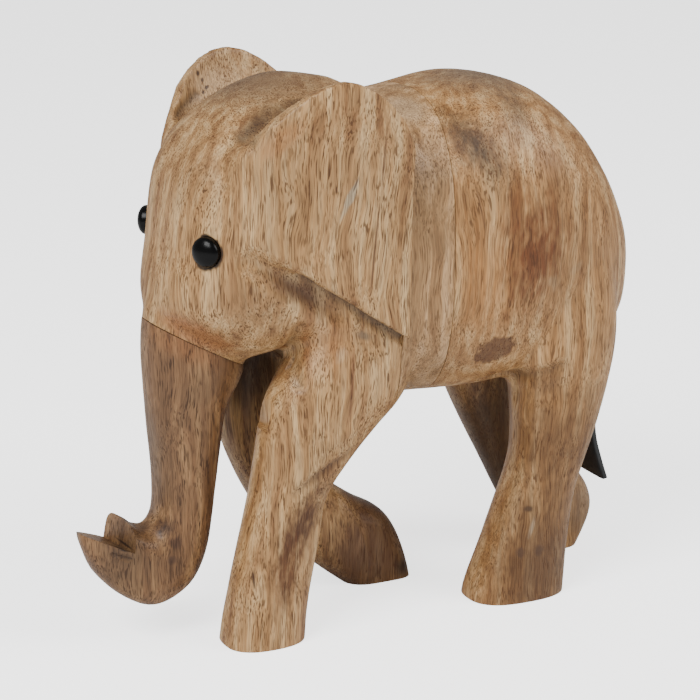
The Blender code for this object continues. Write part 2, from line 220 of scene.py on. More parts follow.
def prism(name: str, outline: list[Point2], low_x: float, high_x: float) -> bpy.types.Object:
    """A straight-sided solid that runs across the figure.

    Args:
        name: name of the object.
        outline: its (y, z) outline.
        low_x: where it starts.
        high_x: where it ends.

    Returns:
        The solid.
    """
    shape = bmesh.new()
    face = shape.faces.new([shape.verts.new(to_frame(low_x, y, z)) for y, z in outline])
    drawn = bmesh.ops.extrude_face_region(shape, geom=[face])
    moved = [item for item in drawn["geom"] if isinstance(item, bmesh.types.BMVert)]
    bmesh.ops.translate(shape, verts=moved, vec=Vector(((high_x - low_x) * MM, 0, 0)))
    return new_object(name, shape)


def box(name: str, low: Point3, high: Point3) -> bpy.types.Object:
    """A straight-sided block between two corners."""
    outline = [(low[1], low[2]), (high[1], low[2]), (high[1], high[2]), (low[1], high[2])]
    return prism(name, outline, low[0], high[0])


def turned(
    name: str, profile: list[Point2], centre: Point3, direction: Vector, steps: int = 48
) -> bpy.types.Object:
    """A solid of revolution.

    Args:
        name: name of the object.
        profile: (radius, distance along the axis) points, starting and ending on the axis.
        centre: point of the axis at distance 0.
        direction: direction of the axis.
        steps: sides of the turned form.

    Returns:
        The solid.
    """
    shape = bmesh.new()
    points = [shape.verts.new((radius * MM, 0.0, along * MM)) for radius, along in profile]
    edges = [shape.edges.new(pair) for pair in zip(points, points[1:])]
    bmesh.ops.spin(
        shape, geom=points + edges, axis=(0, 0, 1), cent=(0, 0, 0),
        angle=math.tau, steps=steps, use_merge=True,
    )
    bmesh.ops.remove_doubles(shape, verts=shape.verts, dist=1e-6)
    turn = Vector((0, 0, 1)).rotation_difference(direction).to_matrix().to_4x4()
    place = Matrix.Translation(to_frame(*centre)) @ turn
    bmesh.ops.transform(shape, matrix=place, verts=shape.verts)
    return new_object(name, shape)


def between(before: float, low: float, high: float, after: float, share: float) -> float:
    """A smooth value between two others that also heeds their neighbours.

    Args:
        before: value before the low one.
        low: value at share 0.
        high: value at share 1.
        after: value after the high one.
        share: how far the value is from low to high.

    Returns:
        The value.
    """
    slope_low, slope_high = (high - before) / 2, (after - low) / 2
    square, cube = share * share, share**3
    return (
        (2 * cube - 3 * square + 1) * low
        + (cube - 2 * square + share) * slope_low
        + (3 * square - 2 * cube) * high
        + (cube - square) * slope_high
    )


@dataclass
class Loft:
    """A carved form through a row of sections, faired between them.

    Args:
        sections: the carver's sections, in order.
        points: points round each ring.
        fairing: rings made for each step between two sections.
    """

    sections: list[Section]
    points: int = 96
    fairing: int = 4

    def faired(self) -> list[Section]:
        """Adds smooth sections between the carver's own.

        Returns:
            All the sections, in order.
        """
        rows = [section.numbers() for section in self.sections]
        rows = [rows[0], *rows, rows[-1]]
        made = []
        for before, low, high, after in zip(rows, rows[1:], rows[2:], rows[3:]):
            for step in range(self.fairing):
                share = step / self.fairing
                made.append(
                    Section.from_numbers(
                        tuple(between(*column, share) for column in zip(before, low, high, after))
                    )
                )
        return [*made, self.sections[-1]]

    def add_ring(
        self, shape: bmesh.types.BMesh, section: Section, capped: bool
    ) -> list[bmesh.types.BMEdge]:
        """Adds one ring.

        Args:
            shape: bmesh to add to.
            section: the ring's section.
            capped: whether a face closes it.

        Returns:
            The ring's edges.
        """
        one = to_frame(section.centre_x, *section.first)
        other = to_frame(section.centre_x, *section.second)
        middle, half = (one + other) / 2, (other - one) / 2
        ring = bmesh.ops.create_circle(shape, cap_ends=capped, segments=self.points, radius=1.0)
        for vertex in ring["verts"]:
            across, along = (
                math.copysign(abs(value) ** (2.0 / section.power), value)
                for value in (vertex.co.x, vertex.co.y)
            )
            vertex.co = middle + along * half + Vector((across * section.half_x * MM, 0, 0))
        return list({edge for vertex in ring["verts"] for edge in vertex.link_edges})

    def build(self, name: str) -> bpy.types.Object:
        """Lofts the solid and closes it at both ends.

        Args:
            name: name of the object.

        Returns:
            The solid.
        """
        shape = bmesh.new()
        faired = self.faired()
        last = len(faired) - 1
        rings = [
            self.add_ring(shape, section, index in (0, last))
            for index, section in enumerate(faired)
        ]
        for lower, upper in zip(rings, rings[1:]):
            bmesh.ops.bridge_loops(shape, edges=lower + upper)
        return new_object(name, shape)


@dataclass(frozen=True)
class Gouge:
    """A line worked into the surface with a gouge, or a ridge left standing beside one.

    Args:
        route: (y, z) points that the line follows.
        low_x: least x at which the surface is touched.
        high_x: greatest x at which it is touched.
        width: distance from the line to where the surface is untouched.
        depth: how far the surface is taken in on the line, negative for a ridge.
        groove_shade: how dark the painted shade along the line is, from 0 to 1.
    """

    route: tuple[Point2, ...]
    low_x: float
    high_x: float
    width: float
    depth: float
    groove_shade: float = 0.0

    def nearness(self, point: Vector) -> float:
        """How near a point is to the line. It fades past the line's ends too.

        Args:
            point: the point, in the carver's coordinates.

        Returns:
            1 on the line, falling smoothly to 0 at its width.
        """
        if not self.low_x <= point.x <= self.high_x:
            return 0.0
        here = Vector((point.y, point.z))
        nearest = self.width
        for start, end in zip(self.route, self.route[1:]):
            one, run = Vector(start), Vector(end) - Vector(start)
            share = max(0.0, min(1.0, (here - one).dot(run) / run.length_squared))
            nearest = min(nearest, (here - one - share * run).length)
        share = 1.0 - nearest / self.width
        return share * share * (3.0 - 2.0 * share)


def both_sides(*gouges: Gouge) -> tuple[Gouge, ...]:
    """The gouges of the left side, and the same ones on the right."""
    return gouges + tuple(replace(each, low_x=-each.high_x, high_x=-each.low_x) for each in gouges)


@dataclass(frozen=True)
class Fairing:
    """A place where the carver rubs one form into the next.

    Args:
        centre: its middle.
        size: its reach along x, y and z.
        rounds: smoothing rounds.
    """

    centre: Point3
    size: Point3
    rounds: int

    def apply(self, shape: bmesh.types.BMesh) -> None:
        """Smooths the surface inside the place, most in its middle.

        Args:
            shape: the piece's shape.
        """
        middle = to_frame(*self.centre)
        reach = {}
        for vertex in shape.verts:
            away = vertex.co - middle
            reach[vertex] = math.hypot(*(away[axis] / (self.size[axis] * MM) for axis in range(3)))
        for step in range(self.rounds):
            limit = 1.0 - 0.7 * step / self.rounds
            inside = [vertex for vertex, distance in reach.items() if distance < limit]
            bmesh.ops.smooth_vert(
                shape, verts=inside, factor=0.5, use_axis_x=True, use_axis_y=True, use_axis_z=True
            )


@dataclass(frozen=True)
class Handwork:
    """The unevenness that hand tools and sanding leave on a surface.

    Args:
        gouges: lines worked into it.
        fairings: places rubbed smooth first.
        allowance: what sanding takes off everywhere.
        flats: (wavelength, depth) of the broad flats left by the drawknife and rasp.
        ripple: (wavelength, depth) of the finer unevenness.
    """

    gouges: tuple[Gouge, ...] = ()
    fairings: tuple[Fairing, ...] = ()
    allowance: float = 0.17
    flats: Point2 = (13.0, 0.32)
    ripple: Point2 = (4.5, 0.09)

    def apply(self, thing: bpy.types.Object) -> None:
        """Moves the surface inwards by the unevenness, and notes how much shade to paint along the
        gouges.

        Args:
            thing: the piece.
        """
        mesh = thing.data
        shape = bmesh.new()
        shape.from_mesh(mesh)
        for fairing in self.fairings:
            fairing.apply(shape)
        shape.to_mesh(mesh)
        shape.free()
        groove_shade = mesh.attributes.new("groove_shade", "FLOAT", "POINT")
        shifts = []
        for vertex in mesh.vertices:
            point = Vector((vertex.co.x / MM, vertex.co.y / MM + MIDDLE_Y, vertex.co.z / MM))
            inward = self.allowance
            for wavelength, depth in (self.flats, self.ripple):
                inward += depth * (0.5 + 0.5 * noise.noise(point / wavelength))
            groove_shade_level = 0.0
            for gouge in self.gouges:
                near = gouge.nearness(point)
                inward += gouge.depth * near
                groove_shade_level = max(groove_shade_level, gouge.groove_shade * near)
            groove_shade.data[vertex.index].value = groove_shade_level
            shifts.append(vertex.co - vertex.normal * inward * MM)
        for vertex, place in zip(mesh.vertices, shifts):
            vertex.co = place


def add_glue(
    piece: bpy.types.Object, blank: bpy.types.Object, layer: bpy.types.Object
) -> None:
    """Lays glue on a piece's joint faces, set back from the surface, so that no light passes.

    Args:
        piece: the piece that the glue is laid on.
        blank: the form that the piece was cut from.
        layer: cutter for the thickness of the glue, which is used up.
    """
    glue = copy_of(blank, "glue")
    Handwork(allowance=GLUE_SET_BACK).apply(glue)
    cut(glue, layer, "INTERSECT")
    cut(piece, glue, "UNION")


# --------------------------------------------------------------------------------------------------
# Wooden pieces
# --------------------------------------------------------------------------------------------------

TRUNK_ROWS = [
    Section(0.0, (-63.6, 96.0), (-43.0, 90.0), 12.0, 2.5),
    Section(0.0, (-66.6, 84.0), (-41.2, 72.6), 11.8, 2.5),
    Section(0.0, (-67.3, 74.0), (-42.0, 67.4), 11.4, 2.5),
    Section(0.0, (-66.7, 60.0), (-46.0, 60.0), 10.6, 2.5),
    Section(0.0, (-65.8, 49.0), (-47.9, 49.0), 9.8, 2.5),
    Section(0.0, (-65.4, 41.0), (-49.2, 40.0), 9.4, 2.5),
    Section(0.0, (-65.6, 35.0), (-50.4, 31.0), 9.2, 2.5),
    Section(0.0, (-66.6, 31.6), (-52.4, 21.5), 9.2, 2.5),
    Section(0.0, (-69.0, 30.0), (-57.2, 12.6), 9.0, 2.5),
    Section(0.0, (-73.0, 32.2), (-67.0, 8.8), 8.8, 3.4),
    Section(0.0, (-77.8, 34.6), (-76.2, 13.0), 8.6, 5.0),
    Section(0.0, (-82.6, 33.6), (-82.6, 19.4), 5.4, 3.0),
    Section(0.0, (-86.8, 32.4), (-86.0, 27.6), 1.8, 2.0),
]
TRUNK_ROOT_ROWS = 4  # how many of these also belong to the head


@dataclass
class CarvedBody:
    """Torso, head and legs as the carver roughs them out, before the blocks are told apart.

    Args:
        torso: sections from the chest to the rump.
        face: sections from the jaw to the top of the head.
        left_front: sections of the left foreleg, from the shoulder to the sole.
        right_front: sections of the right foreleg, which is swept back.
        left_hind: sections of the left hind leg.
        right_hind: sections of the right hind leg, which is swept back.
        voxel: size of the cells in which the forms are fused.
        sanding: smoothing rounds.
    """

    torso: list[Section] = field(
        default_factory=lambda: [
            Section(0.0, (-47.0, 89.0), (-47.0, 118.0), 17.0, 2.4),
            Section(0.0, (-38.0, 79.0), (-38.0, 131.0), 27.0, 2.6),
            Section(0.0, (-25.0, 66.5), (-25.0, 136.0), 30.6, 2.6),
            Section(0.0, (-9.0, 60.2), (-9.0, 137.0), 31.6, 2.7),
            Section(0.0, (4.0, 58.8), (4.0, 139.2), 31.5, 2.7),
            Section(0.0, (20.0, 58.4), (20.0, 141.7), 31.5, 2.7),
            Section(0.0, (34.0, 59.4), (34.0, 139.2), 30.9, 2.6),
            Section(0.0, (46.5, 61.0), (46.5, 131.8), 28.4, 2.5),
            Section(0.0, (56.5, 63.5), (56.5, 121.0), 24.0, 2.4),
            Section(0.0, (63.3, 68.0), (63.3, 109.6), 18.5, 2.3),
            Section(0.0, (67.4, 74.0), (67.4, 100.0), 11.5, 2.2),
            Section(0.0, (69.3, 82.0), (69.3, 92.0), 5.0, 2.0),
        ]
    )
    face: list[Section] = field(
        default_factory=lambda: [
            Section(0.0, (-65.4, 83.0), (-44.5, 69.5), 11.2, 2.4),
            Section(0.0, (-65.4, 87.6), (-41.6, 72.6), 16.6, 2.5),
            Section(0.0, (-64.8, 91.6), (-33.0, 75.8), 23.4, 2.6),
            Section(0.0, (-63.8, 96.6), (-8.0, 84.0), 29.0, 2.8),
            Section(0.0, (-62.5, 103.0), (10.0, 98.0), 31.4, 2.9),
            Section(0.0, (-61.5, 111.0), (12.0, 111.0), 31.8, 2.9),
            Section(0.0, (-60.1, 120.0), (12.0, 122.0), 31.0, 2.8),
            Section(0.0, (-57.2, 127.5), (10.0, 128.0), 28.6, 2.5),
            Section(0.0, (-53.0, 133.0), (4.0, 132.0), 24.6, 2.3),
            Section(0.0, (-46.0, 138.8), (-4.0, 135.6), 18.5, 2.1),
            Section(0.0, (-37.6, 143.2), (-9.0, 139.0), 10.0, 2.0),
            Section(0.0, (-31.0, 144.8), (-16.0, 142.4), 4.0, 2.0),
        ]
    )
    left_front: list[Section] = field(
        default_factory=lambda: [
            Section(17.0, (-27.0, 92.0), (-2.0, 92.0), 12.0, 2.4),
            Section(17.5, (-33.4, 78.0), (0.0, 74.0), 12.0, 2.4),
            Section(17.3, (-40.8, 65.0), (-4.2, 63.0), 11.6, 2.4),
            Section(17.0, (-43.2, 56.0), (-11.2, 55.5), 10.8, 2.4),
            Section(16.6, (-43.8, 50.0), (-18.0, 48.0), 10.4, 2.4),
            Section(16.0, (-45.7, 38.0), (-25.0, 38.0), 9.6, 2.4),
            Section(15.6, (-48.0, 28.0), (-26.6, 28.0), 9.4, 2.4),
            Section(15.2, (-51.6, 11.0), (-29.8, 11.0), 9.6, 2.5),
            Section(14.9, (-53.8, -2.0), (-31.0, -2.0), 9.8, 2.5),
        ]
    )
    right_front: list[Section] = field(
        default_factory=lambda: [
            Section(-17.0, (-38.0, 92.0), (-2.0, 92.0), 12.0, 2.4),
            Section(-17.5, (-40.0, 76.0), (0.0, 73.0), 12.0, 2.4),
            Section(-17.0, (-42.0, 60.0), (-11.0, 58.0), 11.2, 2.4),
            Section(-16.0, (-40.4, 44.5), (-17.6, 49.0), 10.2, 2.4),
            Section(-15.2, (-33.6, 28.0), (-13.8, 34.0), 9.8, 2.4),
            Section(-14.8, (-23.6, 14.0), (-3.4, 24.6), 9.8, 2.4),
            Section(-14.6, (-13.8, 4.5), (6.2, 18.4), 9.8, 3.2),
            Section(-14.4, (-6.5, -1.0), (11.2, 8.0), 9.8, 4.0),
            Section(-14.4, (-4.0, -3.5), (13.2, -2.5), 9.8, 5.0),
        ]
    )
    left_hind: list[Section] = field(
        default_factory=lambda: [
            Section(15.5, (24.0, 92.0), (59.0, 92.0), 13.0, 2.3),
            Section(16.5, (27.5, 76.0), (59.8, 76.0), 13.0, 2.3),
            Section(16.8, (29.5, 63.0), (57.8, 61.0), 12.2, 2.4),
            Section(16.5, (31.0, 48.0), (54.4, 47.0), 10.8, 2.4),
            Section(16.0, (30.4, 38.0), (51.8, 38.0), 9.8, 2.4),
            Section(15.4, (27.5, 28.0), (49.2, 28.0), 9.6, 2.4),
            Section(15.0, (22.6, 14.0), (47.6, 14.0), 10.0, 2.5),
            Section(14.6, (18.6, 3.0), (46.9, 3.0), 10.4, 2.6),
            Section(14.5, (17.6, -3.0), (46.4, -3.0), 10.4, 2.6),
        ]
    )
    right_hind: list[Section] = field(
        default_factory=lambda: [
            Section(-15.5, (20.0, 86.0), (59.0, 90.0), 13.0, 2.3),
            Section(-16.5, (22.0, 68.0), (61.0, 74.0), 12.6, 2.3),
            Section(-16.4, (26.2, 54.0), (58.5, 58.0), 11.4, 2.4),
            Section(-16.0, (31.5, 42.0), (57.2, 46.0), 10.4, 2.4),
            Section(-15.4, (37.5, 30.0), (60.5, 35.0), 9.8, 2.4),
            Section(-15.0, (44.0, 17.0), (66.6, 25.0), 9.8, 2.4),
            Section(-14.8, (49.0, 7.0), (72.35, 16.6), 9.8, 2.5),
            Section(-14.6, (51.5, 1.0), (73.35, 9.5), 9.6, 2.4),
            Section(-14.5, (53.0, -3.0), (68.0, -1.0), 9.2, 2.4),
        ]
    )
    voxel: float = 0.8
    sanding: int = 12

    def build(self) -> bpy.types.Object:
        """Fuses the forms into one body and sands it.

        Returns:
            The body, with legs that run on past the ground.
        """
        legs = [self.left_front, self.right_front, self.left_hind, self.right_hind]
        forms = [self.torso, self.face, TRUNK_ROWS[:TRUNK_ROOT_ROWS], *legs]
        body = fuse([Loft(rows).build("form") for rows in forms], "body", self.voxel)
        sand(body, self.sanding)
        return body


@dataclass
class Ears:
    """Both ears, thin shells that stand off the head.

    Args:
        outside: sections of the ears' outer faces, from the bottom up.
        thickness: (height, thickness) of an ear at three heights.
        overrun: how far the space between the ears runs past them, up and down.
        rim: share of the thickness at the front edge.
        reach: how far the cutters for the outline stand out to either side.
        trimmed_from: least x of the cutter that trims the left ear.
        outline: (y, z) outline of an ear, seen from its side.
        trimmed: (y, z) outline of what is trimmed off the left ear, whose front top edge is lower.
    """

    outside: list[Section] = field(
        default_factory=lambda: [
            Section(0.0, (-60.0, 78.0), (30.0, 78.0), 33.2, 3.0),
            Section(0.0, (-60.2, 105.0), (30.0, 105.0), 34.2, 3.0),
            Section(0.0, (-60.0, 120.0), (30.0, 120.0), 35.0, 3.0),
            Section(0.0, (-57.4, 132.0), (28.0, 132.0), 36.4, 3.0),
            Section(0.0, (-55.0, 141.0), (26.0, 141.0), 37.4, 3.0),
            Section(0.0, (-51.0, 150.0), (26.0, 150.0), 38.0, 3.0),
        ]
    )
    thickness: tuple[Point2, Point2, Point2] = ((78.0, 9.0), (124.0, 8.0), (146.0, 3.0))
    overrun: float = 2.0
    rim: float = 0.4
    reach: float = 45.0
    trimmed_from: float = 5.0
    outline: tuple[Point2, ...] = (
        (-54.0, 111.0), (-53.0, 126.0), (-49.8, 132.6), (-46.4, 137.2), (-42.4, 141.2),
        (-37.8, 144.4), (-33.0, 146.2), (-28.5, 146.4), (-24.0, 145.4), (-19.5, 143.0),
        (-15.5, 139.8), (-12.0, 135.8), (-9.4, 130.8), (-8.0, 126.0), (-8.0, 79.0),
        (-12.0, 81.2), (-22.0, 87.6), (-34.0, 95.6), (-46.0, 103.6), (-51.5, 107.5),
    )
    trimmed: tuple[Point2, ...] = (
        (-60.0, 130.6), (-49.4, 130.6), (-45.6, 135.2), (-41.4, 139.2), (-36.8, 142.9),
        (-32.2, 145.2), (-27.0, 146.6), (-27.0, 160.0), (-60.0, 160.0),
    )

    def thickness_at(self, height: float) -> float:
        """How thick the ear is.

        Args:
            height: height at which it is asked.

        Returns:
            The thickness there.
        """
        below, middle, above = self.thickness
        (low, at_low), (high, at_high) = (
            (below, middle) if height < middle[0] else (middle, above)
        )
        return at_low + (height - low) / (high - low) * (at_high - at_low)

    def hollow(self) -> list[Section]:
        """The space between the ears, which runs on past them at both ends.

        Returns:
            Its sections.
        """
        rows = []
        for row in self.outside:
            thickness = self.thickness_at(row.first[1])
            first = (row.first[0] + self.rim * thickness, row.first[1])
            rows.append(Section(0.0, first, row.second, row.half_x - thickness, row.power))
        for index, step in ((0, -self.overrun), (-1, self.overrun)):
            row = rows[index]
            (first_y, first_z), (second_y, second_z) = row.first, row.second
            rows[index] = replace(
                row, first=(first_y, first_z + step), second=(second_y, second_z + step)
            )
        return rows

    def build(self) -> bpy.types.Object:
        """Makes both ears.

        Returns:
            The two shells as one object.
        """
        ears = Loft(self.outside).build("ears")
        cut(ears, Loft(self.hollow()).build("ear_hollow"))
        cut(ears, prism("ear_outline", list(self.outline), -self.reach, self.reach), "INTERSECT")
        cut(ears, prism("ear_trim", list(self.trimmed), self.trimmed_from, self.reach))
        return ears


@dataclass
class TrunkJoint:
    """The sloping glue joint between the head and the trunk, and the dowel across it.

    Args:
        front: (y, z) of a point of the joint ahead of the trunk.
        back: (y, z) of its back edge.
        lowest: height down to which the head is cut away.
        side: reach of the cutters to either side.
        dowel_centre: (y, z) of the dowel's middle.
        dowel_radius: radius of its hole.
        dowel_half_length: half the length of the hole.
    """

    front: Point2 = (-72.0, 87.2)
    back: Point2 = (-40.5, 70.08)
    lowest: float = 57.0
    side: float = 20.0
    dowel_centre: Point2 = (-56.5, 78.8)
    dowel_radius: float = 3.3
    dowel_half_length: float = 11.3

    def along(self) -> Vector:
        """Direction of the joint's slope in (y, z)."""
        return (Vector(self.back) - Vector(self.front)).normalized()

    def space_below(self, lift: float, lowest: float) -> bpy.types.Object:
        """A cutter for what lies under the joint.

        Args:
            lift: how far the joint's plane is moved square to itself.
            lowest: height of the cutter's underside.

        Returns:
            The cutter.
        """
        along = self.along()
        shift = Vector((-along.y, along.x)) * lift
        front, back = Vector(self.front) + shift, Vector(self.back) + shift
        far = front + (front - back)
        outline = [(back.x, lowest), (far.x, lowest), far[:], back[:]]
        return prism("below_joint", outline, -self.side, self.side)

    def dowel_hole(self) -> bpy.types.Object:
        """A cutter for the dowel's blind hole.

        Returns:
            The cutter, which reaches into both pieces.
        """
        along = self.along()
        half, radius = self.dowel_half_length, self.dowel_radius
        profile = [(0.0, -half), (radius, -half), (radius, half), (0.0, half)]
        return turned(
            "dowel_hole", profile, (0.0, *self.dowel_centre), Vector((0.0, -along.y, along.x))
        )


@dataclass
class FrontBlock:
    """Head, ears, chest and both forelegs, from one block.

    Args:
        joint: its joint with the trunk.
        eyes: the pins, for which it is drilled.
        ears: the ears that are fused to it.
        spare: how far past the legs' dividing line the rough block runs.
        voxel: size of the skin's cells.
        sanding: smoothing rounds.
        handwork: marks left by the tools.
    """

    joint: TrunkJoint
    eyes: list[Eye]
    ears: Ears = field(default_factory=Ears)
    spare: float = 8.0
    voxel: float = 0.7
    sanding: int = 3
    handwork: Handwork = Handwork(
        # Where a gouge has a sixth number, it paints shade into its groove
        gouges=(
            *both_sides(
                Gouge(((-38.0, 98.6), (-33.6, 95.4), (-21.6, 87.4), (-8.0, 78.4)),
                      22.0, 36.0, 1.7, 1.4, 0.8),
                Gouge(((-49.0, 102.6), (-41.0, 97.6), (-33.0, 92.2), (-26.0, 87.6)),
                      20.0, 34.0, 4.8, 1.9, 0.1),
                Gouge(((-47.5, 131.4), (-42.0, 134.8), (-36.0, 137.6), (-29.0, 139.8)),
                      14.0, 28.4, 2.3, 0.3, 0.6),
            ),
            Gouge(((-37.0, 41.5), (-30.5, 46.4), (-21.0, 51.0)), 18.0, 30.0, 1.8, 0.5, 0.25),
            Gouge(((-30.0, 52.5), (-22.0, 57.0)), 18.0, 30.0, 2.6, -0.3),
            Gouge(((-66.0, 85.4), (-57.0, 80.4), (-47.0, 75.0)), 7.0, 24.0, 3.0, 0.7),
            Gouge(((-36.5, 84.5), (-35.2, 78.0), (-35.8, 70.0)), 18.0, 28.0, 2.4, 0.8, 0.3),
            Gouge(((-8.0, 26.0), (-5.2, 18.0), (-1.0, 6.0)), -9.0, -2.0, 2.0, -0.4),
        ),
        fairings=(
            Fairing((31.0, -52.0, 110.0), (11.0, 11.0, 21.0), 90),
            Fairing((27.0, -50.0, 129.0), (10.0, 9.0, 10.0), 60),
            Fairing((-31.0, -52.0, 110.0), (11.0, 11.0, 21.0), 90),
            Fairing((-27.0, -50.0, 129.0), (10.0, 9.0, 10.0), 60),
        ),
    )

    def build(self, body: bpy.types.Object) -> bpy.types.Object:
        """Makes the block.

        Args:
            body: the whole carved body, of which a copy is cut.

        Returns:
            The finished block.
        """
        rough = copy_of(body, "rough_front")
        low = (-SIDE, BETWEEN_LEGS_Y + self.spare, -HIGH)
        cut(rough, box("far_behind", low, (SIDE, LONG, HIGH)))
        block = fuse([rough, self.ears.build()], "wood_front_block", self.voxel)
        sand(block, self.sanding)
        self.handwork.apply(block)
        behind = FRONT_JOINT_Y - HALF_GLUE_LINE
        cut(block, box("behind", (-SIDE, behind, JOINT_LOWEST_Z), (SIDE, LONG, HIGH)))
        cut(block, box("hind_legs", (-SIDE, BETWEEN_LEGS_Y, -HIGH), (SIDE, LONG, HIGH)))
        cut(block, box("ground", (-SIDE, -LONG, -HIGH), (SIDE, LONG, 0.0)))
        cut(block, self.joint.space_below(HALF_GLUE_LINE, self.joint.lowest))
        cut(block, self.joint.dowel_hole())
        for eye in self.eyes:
            cut(block, eye.socket())
        return block


class MiddleBoard:
    """The thin board glued between the two big blocks."""

    def build(self, body: bpy.types.Object) -> bpy.types.Object:
        """Makes the board.

        Args:
            body: the whole carved body, of which a copy is cut.

        Returns:
            The finished board.
        """
        board = copy_of(body, "wood_middle_board")
        Handwork().apply(board)
        low = (-SIDE, FRONT_JOINT_Y + HALF_GLUE_LINE, JOINT_LOWEST_Z)
        cut(board, box("slab", low, (SIDE, REAR_JOINT_Y - HALF_GLUE_LINE, HIGH)), "INTERSECT")
        low = (-SIDE, FRONT_JOINT_Y - GLUE_REACH, JOINT_LOWEST_Z + GLUE_SET_BACK)
        add_glue(board, body, box("glued", low, (SIDE, REAR_JOINT_Y + GLUE_REACH, HIGH)))
        return board


@dataclass
class RearBlock:
    """Hindquarters and both hind legs, from one block.

    Args:
        tail: the tail, for which it is drilled.
        handwork: marks left by the tools.
    """

    tail: Tail
    handwork: Handwork = Handwork(
        # Where a gouge has a sixth number, it paints shade into its groove
        gouges=(
            *both_sides(
                Gouge(((20.0, 60.6), (29.0, 62.6), (38.0, 66.4)), 17.0, 34.0, 3.0, 1.2, 0.35),
                Gouge(((24.0, 56.0), (37.0, 60.0)), 16.0, 34.0, 6.5, 1.0),
            ),
            Gouge(((28.5, 62.0), (30.0, 50.0), (28.0, 36.0)), 14.0, 30.0, 2.4, -0.25),
        )
    )

    def build(self, body: bpy.types.Object) -> bpy.types.Object:
        """Makes the block.

        Args:
            body: the whole carved body, of which a copy is cut.

        Returns:
            The finished block.
        """
        block = copy_of(body, "wood_rear_block")
        self.handwork.apply(block)
        ahead = REAR_JOINT_Y + HALF_GLUE_LINE
        cut(block, box("ahead", (-SIDE, -LONG, -HIGH), (SIDE, ahead, HIGH)))
        cut(block, box("forelegs", (-SIDE, -LONG, -HIGH), (SIDE, BETWEEN_LEGS_Y, JOINT_LOWEST_Z)))
        cut(block, box("ground", (-SIDE, -LONG, -HIGH), (SIDE, LONG, 0.0)))
        cut(block, self.tail.hole())
        return block


@dataclass
class Trunk:
    """The trunk, doweled and glued to the head, with a step that makes two fingers at its tip.

    Args:
        joint: its joint with the head.
        step_corner: (y, z) of the step's inner corner.
        riser_top: (y, z) of the top of its riser.
        lip: (y, z) of the lower finger's point.
        farthest: (y, z) of the cutter's far corner.
        skew: how far the saw runs towards the tail for each millimetre across.
        tilt: how far it rises for each millimetre across.
        voxel: size of the skin's cells.
        sanding: smoothing rounds.
        handwork: marks left by the tools.
    """

    joint: TrunkJoint
    step_corner: Point2 = (-75.2, 25.6)
    riser_top: Point2 = (-73.4, 35.0)
    lip: Point2 = (-88.0, 31.6)
    farthest: Point2 = (-100.0, 45.0)
    skew: float = 0.17
    tilt: float = 0.04
    voxel: float = 0.5
    sanding: int = 8
    handwork: Handwork = Handwork(
        # Where a gouge has a sixth number, it paints shade into its groove
        gouges=(
            Gouge(((-79.5, 26.2), (-75.0, 24.8)), 3.0, 12.0, 0.9, 0.5, 0.7),
            Gouge(((-72.0, 30.5), (-68.5, 31.0)), -12.0, 12.0, 1.6, 0.3, 0.2),
        ),
        flats=(9.0, 0.28),
    )

    def build(self) -> bpy.types.Object:
        """Makes the trunk.

        Returns:
            The finished trunk.
        """
        trunk = fuse([Loft(TRUNK_ROWS).build("form")], "wood_trunk_block", self.voxel)
        sand(trunk, self.sanding)
        self.handwork.apply(trunk)
        far_y, far_z = self.farthest
        above = [
            self.step_corner, self.riser_top, (self.riser_top[0], far_z), self.farthest,
            (far_y, self.lip[1]), self.lip,
        ]
        side = self.joint.side
        step = prism("step", above, -side, side)
        shear = Matrix.Identity(4)
        shear[1][0], shear[2][0] = self.skew, self.tilt
        step.data.transform(shear)
        cut(trunk, step)
        whole = copy_of(trunk, "whole_trunk")
        cut(trunk, self.joint.space_below(-HALF_GLUE_LINE, 0.0), "INTERSECT")
        add_glue(trunk, whole, self.joint.space_below(GLUE_REACH, self.joint.lowest))
        bpy.data.meshes.remove(whole.data)
        cut(trunk, self.joint.dowel_hole())
        return trunk


# --------------------------------------------------------------------------------------------------
# Eyes and tail
# --------------------------------------------------------------------------------------------------


class Flank(Enum):
    """A side of the elephant, by the sign of its x."""

    LEFT = 1
    RIGHT = -1


